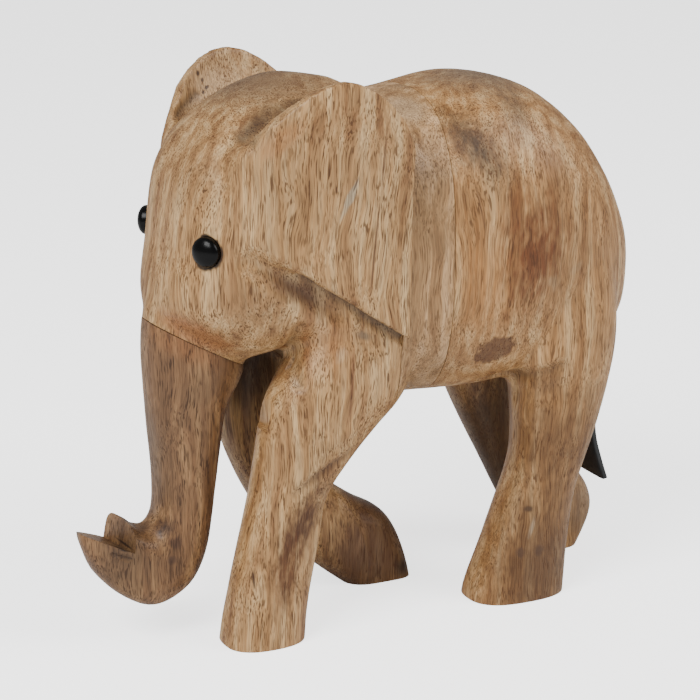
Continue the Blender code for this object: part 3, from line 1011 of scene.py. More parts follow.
@dataclass
class Eye:
    """A black domed pin, pressed into a hole in the face.

    Args:
        flank: the side of the face that it is on.
        centre: middle of the left eye's rim.
        turn: how far it looks aside from straight ahead, in radians.
        radius: radius of the head.
        dome: height of the dome above the rim.
        rim: height of the straight rim under the dome.
        shank_radius: radius of the pin's shank.
        shank_length: length of the shank.
        clearance: gap between the pin and its hole.
        mouth: how far the hole's cutter reaches out past the face.
    """

    flank: Flank
    centre: Point3 = (21.0, -58.05, 104.9)
    turn: float = math.radians(34.0)
    radius: float = 3.8
    dome: float = 2.1
    rim: float = 0.9
    shank_radius: float = 1.4
    shank_length: float = 7.0
    clearance: float = 0.15
    mouth: float = 3.0

    def direction(self) -> Vector:
        """The way the eye looks."""
        return Vector((self.flank.value * math.sin(self.turn), -math.cos(self.turn), 0.0))

    def place(self) -> Point3:
        """Middle of this eye's rim."""
        return (self.flank.value * self.centre[0], self.centre[1], self.centre[2])

    def below_rim(self, clearance: float) -> list[Point2]:
        """Outline of the shank and the underside of the rim.

        Args:
            clearance: how far it is grown.

        Returns:
            Its (radius, distance along the axis) points.
        """
        rim, shank = self.radius + clearance, self.shank_radius + clearance
        end, under = -self.rim - self.shank_length - clearance, -self.rim - clearance
        return [(0.0, end), (shank, end), (shank, under), (rim, under)]

    def build(self) -> bpy.types.Object:
        """Turns the pin.

        Returns:
            The pin, in its place.
        """
        angles = [math.radians(angle) for angle in range(0, 90, 6)]
        dome = [(self.radius * math.cos(a), self.dome * math.sin(a)) for a in angles]
        profile = [*self.below_rim(0.0), *dome, (0.0, self.dome)]
        name = f"eye_{self.flank.name.lower()}"
        return turned(name, profile, self.place(), self.direction(), 64)

    def socket(self) -> bpy.types.Object:
        """A cutter for the pin's hole.

        Returns:
            The cutter, in its place.
        """
        mouth = self.radius + self.clearance
        profile = [*self.below_rim(self.clearance), (mouth, self.mouth), (0.0, self.mouth)]
        return turned("eye_socket", profile, self.place(), self.direction())


@dataclass
class Tail:
    """A strip of leather glued into a hole in the rump, hanging down and widening to its cut end.

    Args:
        stations: (x, y, z, width) along the strip, from its glued end to its tip.
        hinge: (y, z) of the bend that the frame turns it about.
        thickness: thickness of the leather.
        hole_direction: the way the hole opens.
        hole_radius: radius of the hole.
        hole_depth: depth of the hole from the bend.
        mouth: how far the hole's cutter reaches out past the rump.
        stiff_above: height above the hinge where the leather would start to follow the hanging end;
            the point is worked out but not used.
        free_below: depth below the hinge from which it would follow it fully; the point is worked
            out but not used.
    """

    stations: tuple[tuple[float, float, float, float], ...] = (
        (0.0, 59.1, 75.0, 4.8), (0.0, 62.7, 70.2, 5.0), (0.0, 64.8, 67.2, 5.1),
        (0.0, 65.3, 63.0, 5.2), (0.0, 64.7, 56.0, 5.4), (0.2, 63.9, 46.0, 6.2),
        (0.5, 63.9, 37.0, 7.8), (0.9, 65.0, 30.0, 10.4), (1.2, 66.2, 24.8, 12.4),
    )
    hinge: Point2 = (65.4, 66.6)
    thickness: float = 1.8
    hole_direction: Point3 = (0.0, 0.6, -0.8)
    hole_radius: float = 3.3
    hole_depth: float = 12.0
    mouth: float = 6.0
    stiff_above: float = 1.5
    free_below: float = 4.0

    def rows(self) -> list[Section]:
        """Works out the strip's sections.

        Returns:
            The sections, each square to the strip's run.
        """
        rows = []
        for index, (x, y, z, width) in enumerate(self.stations):
            before = self.stations[max(index - 1, 0)]
            after = self.stations[min(index + 1, len(self.stations) - 1)]
            run = Vector((after[1] - before[1], after[2] - before[2])).normalized()
            half = Vector((-run.y, run.x)) * self.thickness / 2
            rows.append(
                Section(x, (y - half.x, z - half.y), (y + half.x, z + half.y), width / 2, 6.0)
            )
        return rows

    def build(self) -> bpy.types.Object:
        """The strip."""
        return Loft(self.rows(), points=64, fairing=8).build("leather_tail")

    def hole(self) -> bpy.types.Object:
        """A cutter for the hole in the rump.

        Returns:
            The cutter.
        """
        radius, end = self.hole_radius, -self.hole_depth
        profile = [(0.0, end), (radius, end), (radius, self.mouth), (0.0, self.mouth)]
        return turned("tail_hole", profile, (0.0, *self.hinge), Vector(self.hole_direction))


# --------------------------------------------------------------------------------------------------
# Finishes
# --------------------------------------------------------------------------------------------------


def linear(hex_colour: str) -> Colour:
    """Turns a colour to linear values with full alpha.

    Args:
        hex_colour: the colour, as sRGB hex.

    Returns:
        Its red, green, blue and alpha.
    """
    parts = [int(hex_colour[at : at + 2], 16) / 255 for at in (1, 3, 5)]
    values = [c / 12.92 if c <= 0.04045 else ((c + 0.055) / 1.055) ** 2.4 for c in parts]
    return (values[0], values[1], values[2], 1.0)


def add_node(
    tree: bpy.types.NodeTree,
    kind: str,
    inputs: dict[str | int, object] | None = None,
    stops: list[tuple[float, Colour]] | None = None,
    **settings: object,
) -> bpy.types.Node:
    """Adds a node to a tree with its settings and links.

    Args:
        tree: node tree.
        kind: the node's type name.
        inputs: a socket to link or a plain value for each named or numbered input.
        stops: the ramp of a Color Ramp, as (place, colour).
        settings: the node's own properties.

    Returns:
        The new node.
    """
    made = tree.nodes.new(kind)
    for name, value in settings.items():
        setattr(made, name, value)
    for key, value in (inputs or {}).items():
        if isinstance(value, bpy.types.NodeSocket):
            tree.links.new(value, made.inputs[key])
        else:
            made.inputs[key].default_value = value
    if stops:
        ramp = made.color_ramp
        for element, (place, colour) in zip(ramp.elements, (stops[0], stops[-1])):
            element.position, element.color = place, colour
        for place, colour in stops[1:-1]:
            ramp.elements.new(place).color = colour
    return made


def new_material(name: str) -> tuple[bpy.types.Material, bpy.types.NodeTree, bpy.types.Node]:
    """Makes an empty material.

    Args:
        name: name of the material.

    Returns:
        The material, its node tree and its Principled shader.
    """
    made = bpy.data.materials.new(name)
    made.use_nodes = True
    return made, made.node_tree, made.node_tree.nodes["Principled BSDF"]


# Numbered sockets of a colour Mix node
MIX_FACTOR, MIX_A, MIX_B, MIX_RESULT = 0, 6, 7, 2

# Colour of the shade painted into gouged grooves and creases
GROOVE_SHADE_COLOUR = "#2A1B12"
GRAIN_SWAY = 7.0  # how far the grain can wander sideways, end to end


@dataclass(frozen=True)
class Mark:
    """A mark in the wood, such as a knot, a filled chip, a crack or a stain.

    Args:
        centre: its middle.
        size: its reach along x, y and z.
        colour: its colour.
        strength: how much of the wood's own colour it covers, from 0 to 1.
        tilt: turn about x in degrees, which leans its top towards the tail when negative.
        edge: share of its reach over which it fades.
        ragged: how uneven its outline is.
    """

    centre: Point3
    size: Point3
    colour: str
    strength: float
    tilt: float = 0.0
    edge: float = 0.6
    ragged: float = 0.5


@dataclass(frozen=True)
class MangoWood:
    """Mango wood, carved, sanded and given one thin coat of satin lacquer.

    The grain stands upright, so the pores show as long dark streaks on the sides of the figure and
    as dots on its top and undersides. Pores are 0.2 to 0.4 mm wide.

    Args:
        name: name of the material.
        pale: early wood.
        middle: the wood's overall colour.
        deep: late wood.
        stain: spalted patches.
        stained: how strongly these show, from 0 to 1.
        pore: the pores' colour.
        pores: how dark the pores are, from 0 to 1.
        offset: shift of the whole pattern, so that no two blocks match.
        marks: knots, cracks and stains.
    """

    name: str
    pale: str
    middle: str
    deep: str
    stain: str
    stained: float
    pore: str
    pores: float
    offset: Point3
    marks: tuple[Mark, ...] = ()

    def grain(
        self, tree: bpy.types.NodeTree, place: bpy.types.NodeSocket, across: float, along: float
    ) -> bpy.types.NodeSocket:
        """Coordinates measured along and across the grain.

        Args:
            tree: node tree.
            place: position in millimetres.
            across: millimetres across the grain to a unit.
            along: millimetres along the grain to a unit.

        Returns:
            The scaled position.
        """
        scale = (1 / across, 1 / across, 1 / along)
        return add_node(tree, "ShaderNodeMapping", {"Vector": place, "Scale": scale}).outputs[0]

    def pore_field(
        self, tree: bpy.types.NodeTree, place: bpy.types.NodeSocket, spacing: float, length: float,
        inner: float, outer: float, gate: bpy.types.NodeSocket,
    ) -> bpy.types.NodeSocket:
        """Streaks of pores, from 0 to 1.

        Args:
            tree: node tree.
            place: position in millimetres.
            spacing: distance between pores across the grain.
            length: distance between them along it.
            inner: share of the spacing within which a pore is fully dark.
            outer: share of the spacing at which it ends.
            gate: where pores are many and where they are few.

        Returns:
            How much of a place is pore.
        """
        cells = add_node(
            tree, "ShaderNodeTexVoronoi",
            {"Vector": self.grain(tree, place, spacing, length), "Scale": 1.0, "Randomness": 1.0},
        )
        streak = add_node(
            tree, "ShaderNodeMapRange",
            {"Value": cells.outputs["Distance"], "From Min": inner, "From Max": outer,
             "To Min": 1.0, "To Max": 0.0},
        )
        return add_node(
            tree, "ShaderNodeMath", {0: streak.outputs[0], 1: gate}, operation="MULTIPLY"
        ).outputs[0]

    def vessels(
        self, tree: bpy.types.NodeTree, place: bpy.types.NodeSocket, spacing: float, length: float,
        gate: bpy.types.NodeSocket,
    ) -> bpy.types.NodeSocket:
        """Close fine vessel lines, from 0 to 1.

        Args:
            tree: node tree.
            place: position in millimetres.
            spacing: width of a line and its gap.
            length: length of a line.
            gate: where lines are many and where they are few.

        Returns:
            How much of a place is line.
        """
        lines = add_node(
            tree, "ShaderNodeTexNoise",
            {"Vector": self.grain(tree, place, spacing, length), "Scale": 1.0, "Detail": 1.0},
        )
        line = add_node(
            tree, "ShaderNodeMapRange",
            {"Value": lines.outputs[0], "From Min": 0.52, "From Max": 0.63},
            interpolation_type="SMOOTHSTEP",
        )
        return add_node(
            tree, "ShaderNodeMath", {0: line.outputs[0], 1: gate}, operation="MULTIPLY"
        ).outputs[0]

    def paint_mark(
        self, tree: bpy.types.NodeTree, place: bpy.types.NodeSocket,
        rough: bpy.types.NodeSocket, colour: bpy.types.NodeSocket, mark: Mark,
    ) -> bpy.types.NodeSocket:
        """Lays one mark over the wood's colour.

        Args:
            tree: node tree.
            place: position in millimetres, in the carver's coordinates.
            rough: noise that breaks the mark's outline.
            colour: the colour so far.
            mark: the mark.

        Returns:
            The colour with the mark on it.
        """
        own = add_node(
            tree, "ShaderNodeMapping",
            {"Vector": place, "Location": mark.centre, "Scale": mark.size,
             "Rotation": (math.radians(mark.tilt), 0.0, 0.0)},
            vector_type="TEXTURE",
        )
        reach = add_node(tree, "ShaderNodeVectorMath", {0: own.outputs[0]}, operation="LENGTH")
        uneven = add_node(
            tree, "ShaderNodeMath", {0: rough, 1: mark.ragged, 2: reach.outputs["Value"]},
            operation="MULTIPLY_ADD",
        )
        cover = add_node(
            tree, "ShaderNodeMapRange",
            {"Value": uneven.outputs[0], "From Min": 1.0 - mark.edge, "From Max": 1.0,
             "To Min": mark.strength, "To Max": 0.0},
            interpolation_type="SMOOTHSTEP",
        )
        return add_node(
            tree, "ShaderNodeMix",
            {MIX_FACTOR: cover.outputs[0], MIX_A: colour, MIX_B: linear(mark.colour)},
            data_type="RGBA",
        ).outputs[MIX_RESULT]

    def build(self) -> bpy.types.Material:
        """Makes the material.

        Returns:
            The finished material.
        """
        made, tree, shader = new_material(self.name)
        position = add_node(tree, "ShaderNodeTexCoord").outputs["Object"]
        own_place = add_node(
            tree, "ShaderNodeMapping",
            {"Vector": position, "Scale": (1 / MM,) * 3, "Location": (0.0, MIDDLE_Y, 0.0)},
        ).outputs[0]
        shifted = add_node(
            tree, "ShaderNodeMapping", {"Vector": own_place, "Location": self.offset}
        ).outputs[0]

        # The grain wanders sideways over a few centimetres.
        wander = add_node(
            tree, "ShaderNodeTexNoise",
            {"Vector": self.grain(tree, shifted, 18.0, 34.0), "Scale": 1.0, "Detail": 2.0},
        )
        centred = add_node(
            tree, "ShaderNodeVectorMath",
            {0: wander.outputs["Color"], 1: (0.5, 0.5, 0.5)}, operation="SUBTRACT",
        )
        place = add_node(
            tree, "ShaderNodeVectorMath",
            {0: centred.outputs[0], 1: (GRAIN_SWAY, GRAIN_SWAY, 0.0), 2: shifted},
            operation="MULTIPLY_ADD",
        ).outputs[0]

        growth = add_node(
            tree, "ShaderNodeTexNoise",
            {"Vector": self.grain(tree, place, 3.2, 70.0), "Scale": 1.0, "Detail": 4.0,
             "Roughness": 0.62},
        ).outputs[0]
        fibre = add_node(
            tree, "ShaderNodeTexNoise",
            {"Vector": self.grain(tree, place, 0.5, 9.0), "Scale": 1.0, "Detail": 2.0},
        ).outputs[0]
        patches = add_node(
            tree, "ShaderNodeTexNoise",
            {"Vector": self.grain(tree, place, 17.0, 26.0), "Scale": 1.0, "Detail": 3.0},
        ).outputs[0]
        gate = add_node(
            tree, "ShaderNodeMapRange",
            {"Value": add_node(
                tree, "ShaderNodeTexNoise",
                {"Vector": self.grain(tree, place, 3.0, 22.0), "Scale": 1.0, "Detail": 2.0},
            ).outputs[0], "From Min": 0.36, "From Max": 0.56, "To Min": 0.45, "To Max": 1.0},
        ).outputs[0]
        coarse = self.pore_field(tree, place, 0.62, 7.5, 0.06, 0.22, gate)
        fine = self.vessels(tree, place, 0.3, 5.5, gate)

        colour = add_node(
            tree, "ShaderNodeValToRGB", {"Fac": growth},
            [(0.34, linear(self.deep)), (0.5, linear(self.middle)), (0.64, linear(self.pale))],
        ).outputs[0]
        stain_cover = add_node(
            tree, "ShaderNodeMapRange",
            {"Value": patches, "From Min": 0.46, "From Max": 0.68, "To Min": 0.0,
             "To Max": self.stained},
        ).outputs[0]
        colour = add_node(
            tree, "ShaderNodeMix",
            {MIX_FACTOR: stain_cover, MIX_A: colour, MIX_B: linear(self.stain)}, data_type="RGBA",
        ).outputs[MIX_RESULT]
        ragged = add_node(
            tree, "ShaderNodeTexNoise",
            {"Vector": self.grain(tree, place, 1.5, 4.0), "Scale": 1.0, "Detail": 4.0},
        ).outputs[0]
        ragged = add_node(
            tree, "ShaderNodeMath", {0: ragged, 1: 0.5}, operation="SUBTRACT"
        ).outputs[0]
        for mark in self.marks:
            colour = self.paint_mark(tree, own_place, ragged, colour, mark)

        fibre_shade = add_node(
            tree, "ShaderNodeMapRange",
            {"Value": fibre, "From Min": 0.3, "From Max": 0.7, "To Min": 0.74, "To Max": 1.16},
        ).outputs[0]
        colour = add_node(
            tree, "ShaderNodeVectorMath", {0: colour, 1: fibre_shade}, operation="MULTIPLY"
        ).outputs[0]

        pore_cover = add_node(
            tree, "ShaderNodeMath",
            {0: fine, 1: 0.85, 2: coarse}, operation="MULTIPLY_ADD", use_clamp=True,
        ).outputs[0]
        pore_shown = add_node(
            tree, "ShaderNodeMath", {0: pore_cover, 1: self.pores}, operation="MULTIPLY"
        ).outputs[0]
        colour = add_node(
            tree, "ShaderNodeMix",
            {MIX_FACTOR: pore_shown, MIX_A: colour, MIX_B: linear(self.pore)}, data_type="RGBA",
        ).outputs[MIX_RESULT]
        # Painted shade along the gouged grooves and creases
        groove_shade = add_node(tree, "ShaderNodeAttribute", attribute_name="groove_shade").outputs["Fac"]
        colour = add_node(
            tree, "ShaderNodeMix",
            {MIX_FACTOR: groove_shade, MIX_A: colour, MIX_B: linear(GROOVE_SHADE_COLOUR)}, data_type="RGBA",
        ).outputs[MIX_RESULT]
        tree.links.new(colour, shader.inputs["Base Color"])

        # Open pores stay a little rougher than the lacquered wood between them.
        roughness = add_node(
            tree, "ShaderNodeMapRange", {"Value": pore_cover, "To Min": 0.46, "To Max": 0.7}
        ).outputs[0]
        tree.links.new(roughness, shader.inputs["Roughness"])
        relief = add_node(
            tree, "ShaderNodeMath", {0: pore_cover, 1: -1.0, 2: fibre}, operation="MULTIPLY_ADD"
        ).outputs[0]
        bump = add_node(
            tree, "ShaderNodeBump", {"Height": relief, "Strength": 0.35, "Distance": 0.12 * MM}
        ).outputs[0]
        tree.links.new(bump, shader.inputs["Normal"])
        shader.inputs["IOR"].default_value = 1.5
        shader.inputs["Specular IOR Level"].default_value = 0.32
        shader.inputs["Coat Weight"].default_value = 0.06
        shader.inputs["Coat Roughness"].default_value = 0.3
        return made


@dataclass(frozen=True)
class GlossPlastic:
    """Black acrylic of the eye pins: a clean mirror-like skin, so the studio lights show in it.

    Args:
        name: name of the material.
        colour: its colour.
    """

    name: str = "black_gloss_acrylic"
    colour: str = "#040404"

    def build(self) -> bpy.types.Material:
        """Makes the material.

        Returns:
            The finished material.
        """
        made, tree, shader = new_material(self.name)
        position = add_node(tree, "ShaderNodeTexCoord").outputs["Object"]
        dust = add_node(
            tree, "ShaderNodeTexNoise", {"Vector": position, "Scale": 1 / (0.6 * MM), "Detail": 3.0}
        ).outputs[0]
        smear = add_node(
            tree, "ShaderNodeMapRange", {"Value": dust, "To Min": 0.14, "To Max": 0.34}
        ).outputs[0]
        tree.links.new(smear, shader.inputs["Roughness"])
        shader.inputs["Base Color"].default_value = linear(self.colour)
        shader.inputs["IOR"].default_value = 1.49
        shader.inputs["Specular IOR Level"].default_value = 0.16
        return made


@dataclass(frozen=True)
class DyedLeather:
    """Black dyed leather, matt on its face, with a fine pebbled grain of about 0.7 mm.

    Args:
        name: name of the material.
        face: the leather's colour.
        worn: its colour where it has been handled.
    """

    name: str = "black_dyed_leather"
    face: str = "#16181A"
    worn: str = "#26282A"

    def build(self) -> bpy.types.Material:
        """Makes the material.

        Returns:
            The finished material.
        """
        made, tree, shader = new_material(self.name)
        position = add_node(tree, "ShaderNodeTexCoord").outputs["Object"]
        pebbles = add_node(
            tree, "ShaderNodeTexVoronoi", {"Vector": position, "Scale": 1 / (0.7 * MM)}
        ).outputs["Distance"]
        wear = add_node(
            tree, "ShaderNodeTexNoise", {"Vector": position, "Scale": 1 / (4.0 * MM), "Detail": 4.0}
        ).outputs[0]
        colour = add_node(
            tree, "ShaderNodeValToRGB", {"Fac": wear},
            [(0.4, linear(self.face)), (0.7, linear(self.worn))],
        ).outputs[0]
        bump = add_node(
            tree, "ShaderNodeBump", {"Height": pebbles, "Strength": 0.4, "Distance": 0.1 * MM}
        ).outputs[0]
        tree.links.new(colour, shader.inputs["Base Color"])
        tree.links.new(bump, shader.inputs["Normal"])
        shader.inputs["Roughness"].default_value = 0.55
        return made


@dataclass(frozen=True)
class PaperFloor:
    """Matt white background paper.

    Args:
        name: name of the material.
        colour: its colour.
        glow: how far it is overexposed, which adds no light to the figure.
    """

    name: str = "white_background_paper"
    colour: str = "#F7F7F7"
    glow: float = 2.0

    def build(self) -> bpy.types.Material:
        """Makes the material.

        Returns:
            The finished material.
        """
        made, tree, shader = new_material(self.name)
        shader.inputs["Base Color"].default_value = linear(self.colour)
        shader.inputs["Emission Color"].default_value = (1.0, 1.0, 1.0, 1.0)
        seen = add_node(tree, "ShaderNodeLightPath").outputs["Is Camera Ray"]
        glow = add_node(tree, "ShaderNodeMath", {0: seen, 1: self.glow}, operation="MULTIPLY")
        tree.links.new(glow.outputs[0], shader.inputs["Emission Strength"])
        shader.inputs["Roughness"].default_value = 0.9
        shader.inputs["Specular IOR Level"].default_value = 0.1
        return made


HEAD_WOOD = MangoWood(
    name="golden_mango_wood_head", pale="#C8A475", middle="#AE8657", deep="#825B36",
    stain="#7E5A31", stained=0.35, pore="#45270F", pores=0.95, offset=(3.0, 0.0, 0.0),
    marks=(
        # Darker cap of the head, and its orange edge under the ear's top
        Mark((13.0, -57.0, 121.0), (13.0, 9.0, 12.0), "#84623F", 0.5, 0.0, 0.9),
        Mark((0.0, -36.0, 142.0), (27.0, 26.0, 11.0), "#6B5540", 0.85, 0.0, 0.9, 0.3),
        # Painted shadow on the dome beside the ear's front top edge
        Mark((19.0, -40.5, 136.6), (9.0, 13.0, 2.2), "#46301E", 0.85, 38.0, 0.9, 0.3),
        # Painted shade on the chest's underside and the inner sides of the forelegs
        Mark((-4.0, -36.0, 68.0), (21.0, 13.0, 18.0), "#342114", 0.8, 0.0, 0.6, 0.3),
        # Painted shade on the cheek, darker towards the jaw and the valley under the ear
        Mark((24.0, -49.0, 93.0), (15.0, 13.0, 11.0), "#7E5A36", 0.6, 0.0, 0.9, 0.4),
        # Ring of black glue round each eye, with painted shade where the pin meets its hole
        Mark((20.8, -58.1, 104.7), (4.7, 4.7, 4.7), "#1B130E", 0.92, 0.0, 0.16, 0.5),
        Mark((-20.8, -58.1, 104.7), (4.7, 4.7, 4.7), "#1B130E", 0.92, 0.0, 0.16, 0.5),
        Mark((31.0, -42.0, 133.0), (8.0, 9.0, 3.4), "#9C6638", 0.45, 42.0),
        # Ear: filled chip, its dark split, and a long drying crack
        Mark((34.6, -26.0, 117.8), (3.0, 1.3, 6.4), "#A89B82", 0.7, -24.0, 0.6, 1.1),
        Mark((35.0, -24.7, 121.0), (3.0, 0.35, 2.6), "#4B382C", 0.8, -20.0, 0.6, 0.3),
        Mark((33.8, -17.4, 129.0), (4.0, 0.5, 14.0), "#553724", 0.8, -2.0, 0.7, 0.25),
        Mark((33.8, -19.2, 104.0), (4.0, 0.42, 16.5), "#553724", 0.8, -5.0, 0.7, 0.25),
        # Painted shade in the smooth valley under the ear, and the orange facet above the trunk
        Mark((29.0, -37.0, 94.6), (9.0, 16.0, 4.4), "#553722", 0.9, -33.0, 0.9, 0.3),
        Mark((12.0, -57.0, 82.6), (15.0, 14.0, 4.6), "#99643A", 0.8, -28.0, 0.6, 0.25),
        # Foreleg: resin knot, painted highlight of a glossy spot, grey bruise, red streak, and the
        # dark band below the knee
        Mark((25.6, -35.2, 78.6), (5.0, 2.4, 5.4), "#34201A", 0.9, 0.0, 0.9, 1.4),
        Mark((29.0, -25.6, 76.8), (3.0, 2.2, 3.0), "#D2BD98", 0.4, 0.0, 0.95, 2.4),
        Mark((29.4, -19.6, 81.6), (3.0, 3.0, 1.5), "#6B5C49", 0.75, -25.0, 0.8, 1.2),
        Mark((27.0, -30.0, 80.0), (9.0, 12.0, 14.0), "#9C6438", 0.4, 0.0, 0.9, 0.5),
        Mark((29.0, -22.8, 69.0), (4.0, 0.7, 15.0), "#6B4128", 0.7, -3.0, 0.8, 0.4),
        Mark((25.0, -35.4, 32.0), (7.0, 7.0, 19.0), "#47260D", 1.0, -30.0, 0.98, 1.2),
        Mark((25.0, -39.0, 19.0), (7.0, 5.5, 15.0), "#5A3416", 0.9, -10.0, 0.95, 1.2),
        Mark((25.5, -29.0, 46.8), (6.0, 10.5, 2.2), "#573720", 0.6, 30.0, 0.9, 0.8),
        Mark((22.3, -47.2, 19.4), (3.0, 0.5, 3.4), "#2C1E18", 0.85, 0.0, 0.7, 0.3),
        # Swept-back foot, darker, with a painted highlight along a ridge on it
        Mark((-13.0, 0.0, 8.0), (16.0, 22.0, 24.0), "#563822", 0.85, 0.0, 0.5, 0.3),
        Mark((-5.0, -4.0, 14.0), (3.0, 1.3, 7.5), "#8B6848", 0.7, -20.0, 0.8, 0.4),
        Mark((-5.0, 9.0, 3.5), (4.0, 4.0, 4.0), "#2A1A10", 0.8, 0.0, 0.8, 0.4),
        # Paler inner face of the right ear, and the worm specks on it
        Mark((-31.0, -38.0, 134.0), (7.0, 15.0, 15.0), "#CBA678", 0.6, 0.0, 0.8, 0.3),
        Mark((-29.8, -39.4, 140.4), (2.0, 0.8, 1.0), "#3B2619", 0.9),
        Mark((-29.6, -38.2, 138.6), (2.0, 0.6, 0.9), "#3B2619", 0.9),
        Mark((-29.6, -37.0, 136.6), (2.0, 1.2, 0.7), "#3B2619", 0.9, 30.0),
        Mark((-29.4, -38.4, 135.4), (2.0, 0.7, 0.8), "#3B2619", 0.9),
        Mark((-29.8, -36.2, 139.6), (2.0, 0.8, 0.6), "#3B2619", 0.9),
        Mark((-29.4, -33.0, 136.0), (2.0, 0.7, 0.6), "#3B2619", 0.9),
    ),
)

BOARD_WOOD = MangoWood(
    name="grey_mango_wood_board", pale="#C29C72", middle="#A98358", deep="#85613C",
    stain="#7A5F40", stained=0.45, pore="#402612", pores=0.75, offset=(40.0, 11.0, 17.0),
    marks=(
        Mark((18.0, -2.0, 136.0), (12.0, 6.0, 6.0), "#A98F70", 0.6),
    ),
)

RUMP_WOOD = MangoWood(
    name="golden_mango_wood_rump", pale="#C59F6F", middle="#AC8151", deep="#875D33",
    stain="#7A5937", stained=0.4, pore="#45270F", pores=0.85, offset=(-35.0, 23.0, 60.0),
    marks=(
        # Grey-brown spalting on the back
        Mark((24.0, 13.0, 125.0), (16.0, 7.0, 19.0), "#38281A", 0.9, 40.0, 0.95, 0.9),
        Mark((20.0, 26.0, 133.0), (18.0, 7.0, 10.0), "#5E4E3B", 0.6, 0.0, 0.9, 0.6),
        Mark((6.0, 24.0, 141.0), (26.0, 22.0, 10.0), "#6E5C4A", 0.8, 0.0, 0.9, 0.5),
        # Orange wood next to the glue line, and the heartwood streaks behind it
        Mark((31.0, 14.0, 92.0), (8.0, 13.0, 22.0), "#A8703A", 0.45, 0.0, 0.95, 1.0),
        Mark((31.0, 28.0, 98.0), (8.0, 12.5, 22.0), "#643513", 0.95, -8.0, 0.98, 1.4),
        Mark((31.0, 21.0, 108.0), (8.0, 5.0, 13.0), "#6E4120", 0.6, -10.0, 0.9, 1.0),
        Mark((30.5, 33.4, 90.0), (4.0, 2.0, 3.2), "#A98A63", 0.55, 30.0, 0.8, 2.0),
        Mark((30.0, 41.0, 93.0), (4.0, 3.0, 1.6), "#A98A63", 0.5, 40.0, 0.8, 2.0),
        Mark((32.0, 11.5, 112.0), (5.0, 0.5, 12.0), "#4F3524", 0.6, 12.0, 0.8, 0.3),
        # Smooth brown knot on the flank's lower edge
        Mark((27.0, 18.6, 73.0), (8.0, 7.0, 4.6), "#553318", 0.8, 12.0, 0.3, 0.9),
        # Painted shade under the belly's edge where it overhangs the hind leg
        Mark((28.0, 29.0, 60.0), (9.0, 12.0, 4.5), "#4E3520", 0.7, 14.0, 0.9, 0.5),
        # Hind legs: knots, a glossy run of filler, and darker legs and feet, partly the wood's own
        # tone and partly painted shade under the body
        Mark((22.0, 36.0, 10.0), (18.0, 24.0, 36.0), "#4C311A", 0.85, 0.0, 0.9, 0.6),
        Mark((20.0, 40.0, 46.0), (16.0, 20.0, 28.0), "#573B21", 0.85, 0.0, 0.9, 0.6),
        Mark((24.0, 31.6, 26.4), (4.0, 1.5, 1.3), "#45301F", 0.85, 0.0, 0.6, 0.8),
        Mark((24.6, 34.8, 14.6), (4.0, 1.9, 2.2), "#4B3322", 0.8, 0.0, 0.6, 0.8),
        Mark((23.8, 29.4, 14.6), (4.0, 1.7, 2.0), "#4B3322", 0.8, 0.0, 0.6, 0.8),
        Mark((24.4, 32.6, 21.4), (4.0, 0.9, 3.6), "#A48F74", 0.6, -16.0, 0.8, 1.2),
        Mark((-10.0, 44.0, 34.0), (14.0, 24.0, 44.0), "#43301F", 0.85, 0.0, 0.6, 0.3),
        Mark((-14.0, 66.0, 10.0), (14.0, 13.0, 18.0), "#6E5B47", 0.8, 0.0, 0.6, 0.3),
    ),
)

TRUNK_WOOD = MangoWood(
    name="dark_mango_wood_trunk", pale="#9A7650", middle="#7E5B3B", deep="#5F4127",
    stain="#56412C", stained=0.6, pore="#301D10", pores=0.9, offset=(12.0, -47.0, 31.0),
    marks=(
        Mark((9.0, -58.0, 78.0), (13.0, 14.0, 5.0), "#94623A", 0.6, -28.0, 0.9, 0.4),
        Mark((10.0, -54.6, 50.0), (4.0, 2.4, 26.0), "#52341F", 0.6, 4.0, 0.9, 0.7),
        Mark((2.0, -72.0, 22.0), (14.0, 16.0, 14.0), "#4E3926", 0.6, 0.0, 0.9, 0.5),
        Mark((6.8, -65.0, 30.8), (5.0, 3.0, 3.4), "#33211A", 0.85, 0.0, 0.9, 1.6),
        Mark((8.4, -62.6, 27.0), (4.0, 2.6, 2.2), "#4A3020", 0.75, 0.0, 0.7, 1.2),
        Mark((8.4, -64.0, 22.6), (4.0, 1.6, 1.6), "#442D1F", 0.75, 0.0, 0.7, 1.0),
        Mark((4.0, -76.0, 27.1), (8.0, 3.2, 0.5), "#1F140E", 0.95, -14.0, 0.5, 0.2),
        Mark((6.0, -65.8, 43.0), (4.0, 1.2, 5.0), "#4A3426", 0.6, 0.0, 0.8, 0.6),
    ),
)

DOWEL_WOOD = MangoWood(
    name="plain_beech_dowel", pale="#C9A67E", middle="#BC966C", deep="#A98258",
    stain="#A98258", stained=0.1, pore="#7A5638", pores=0.25, offset=(0.0, 0.0, 0.0),
)


def dress(
    thing: bpy.types.Object, finish: bpy.types.Material, sharp_degrees: float = 40.0
) -> None:
    """Gives a piece its finish and smooth shading.

    Args:
        thing: the piece.
        finish: its material.
        sharp_degrees: angle above which an edge stays crisp.
    """
    thing.data.materials.clear()
    thing.data.materials.append(finish)
    thing.data.shade_smooth()
    thing.data.set_sharp_from_angle(angle=math.radians(sharp_degrees))


# --------------------------------------------------------------------------------------------------
# Studio
# --------------------------------------------------------------------------------------------------


@dataclass(frozen=True)
class Softbox:
    """A large soft lamp, aimed at the middle of the figure.

    Args:
        azimuth: where it stands, in degrees from straight ahead of the elephant towards its left.
        elevation: its height above the horizon, in degrees.
        distance: its distance in metres.
        size: width of its square face in metres.
        power: its power in watts.
    """

    azimuth: float
    elevation: float
    distance: float
    size: float
    power: float


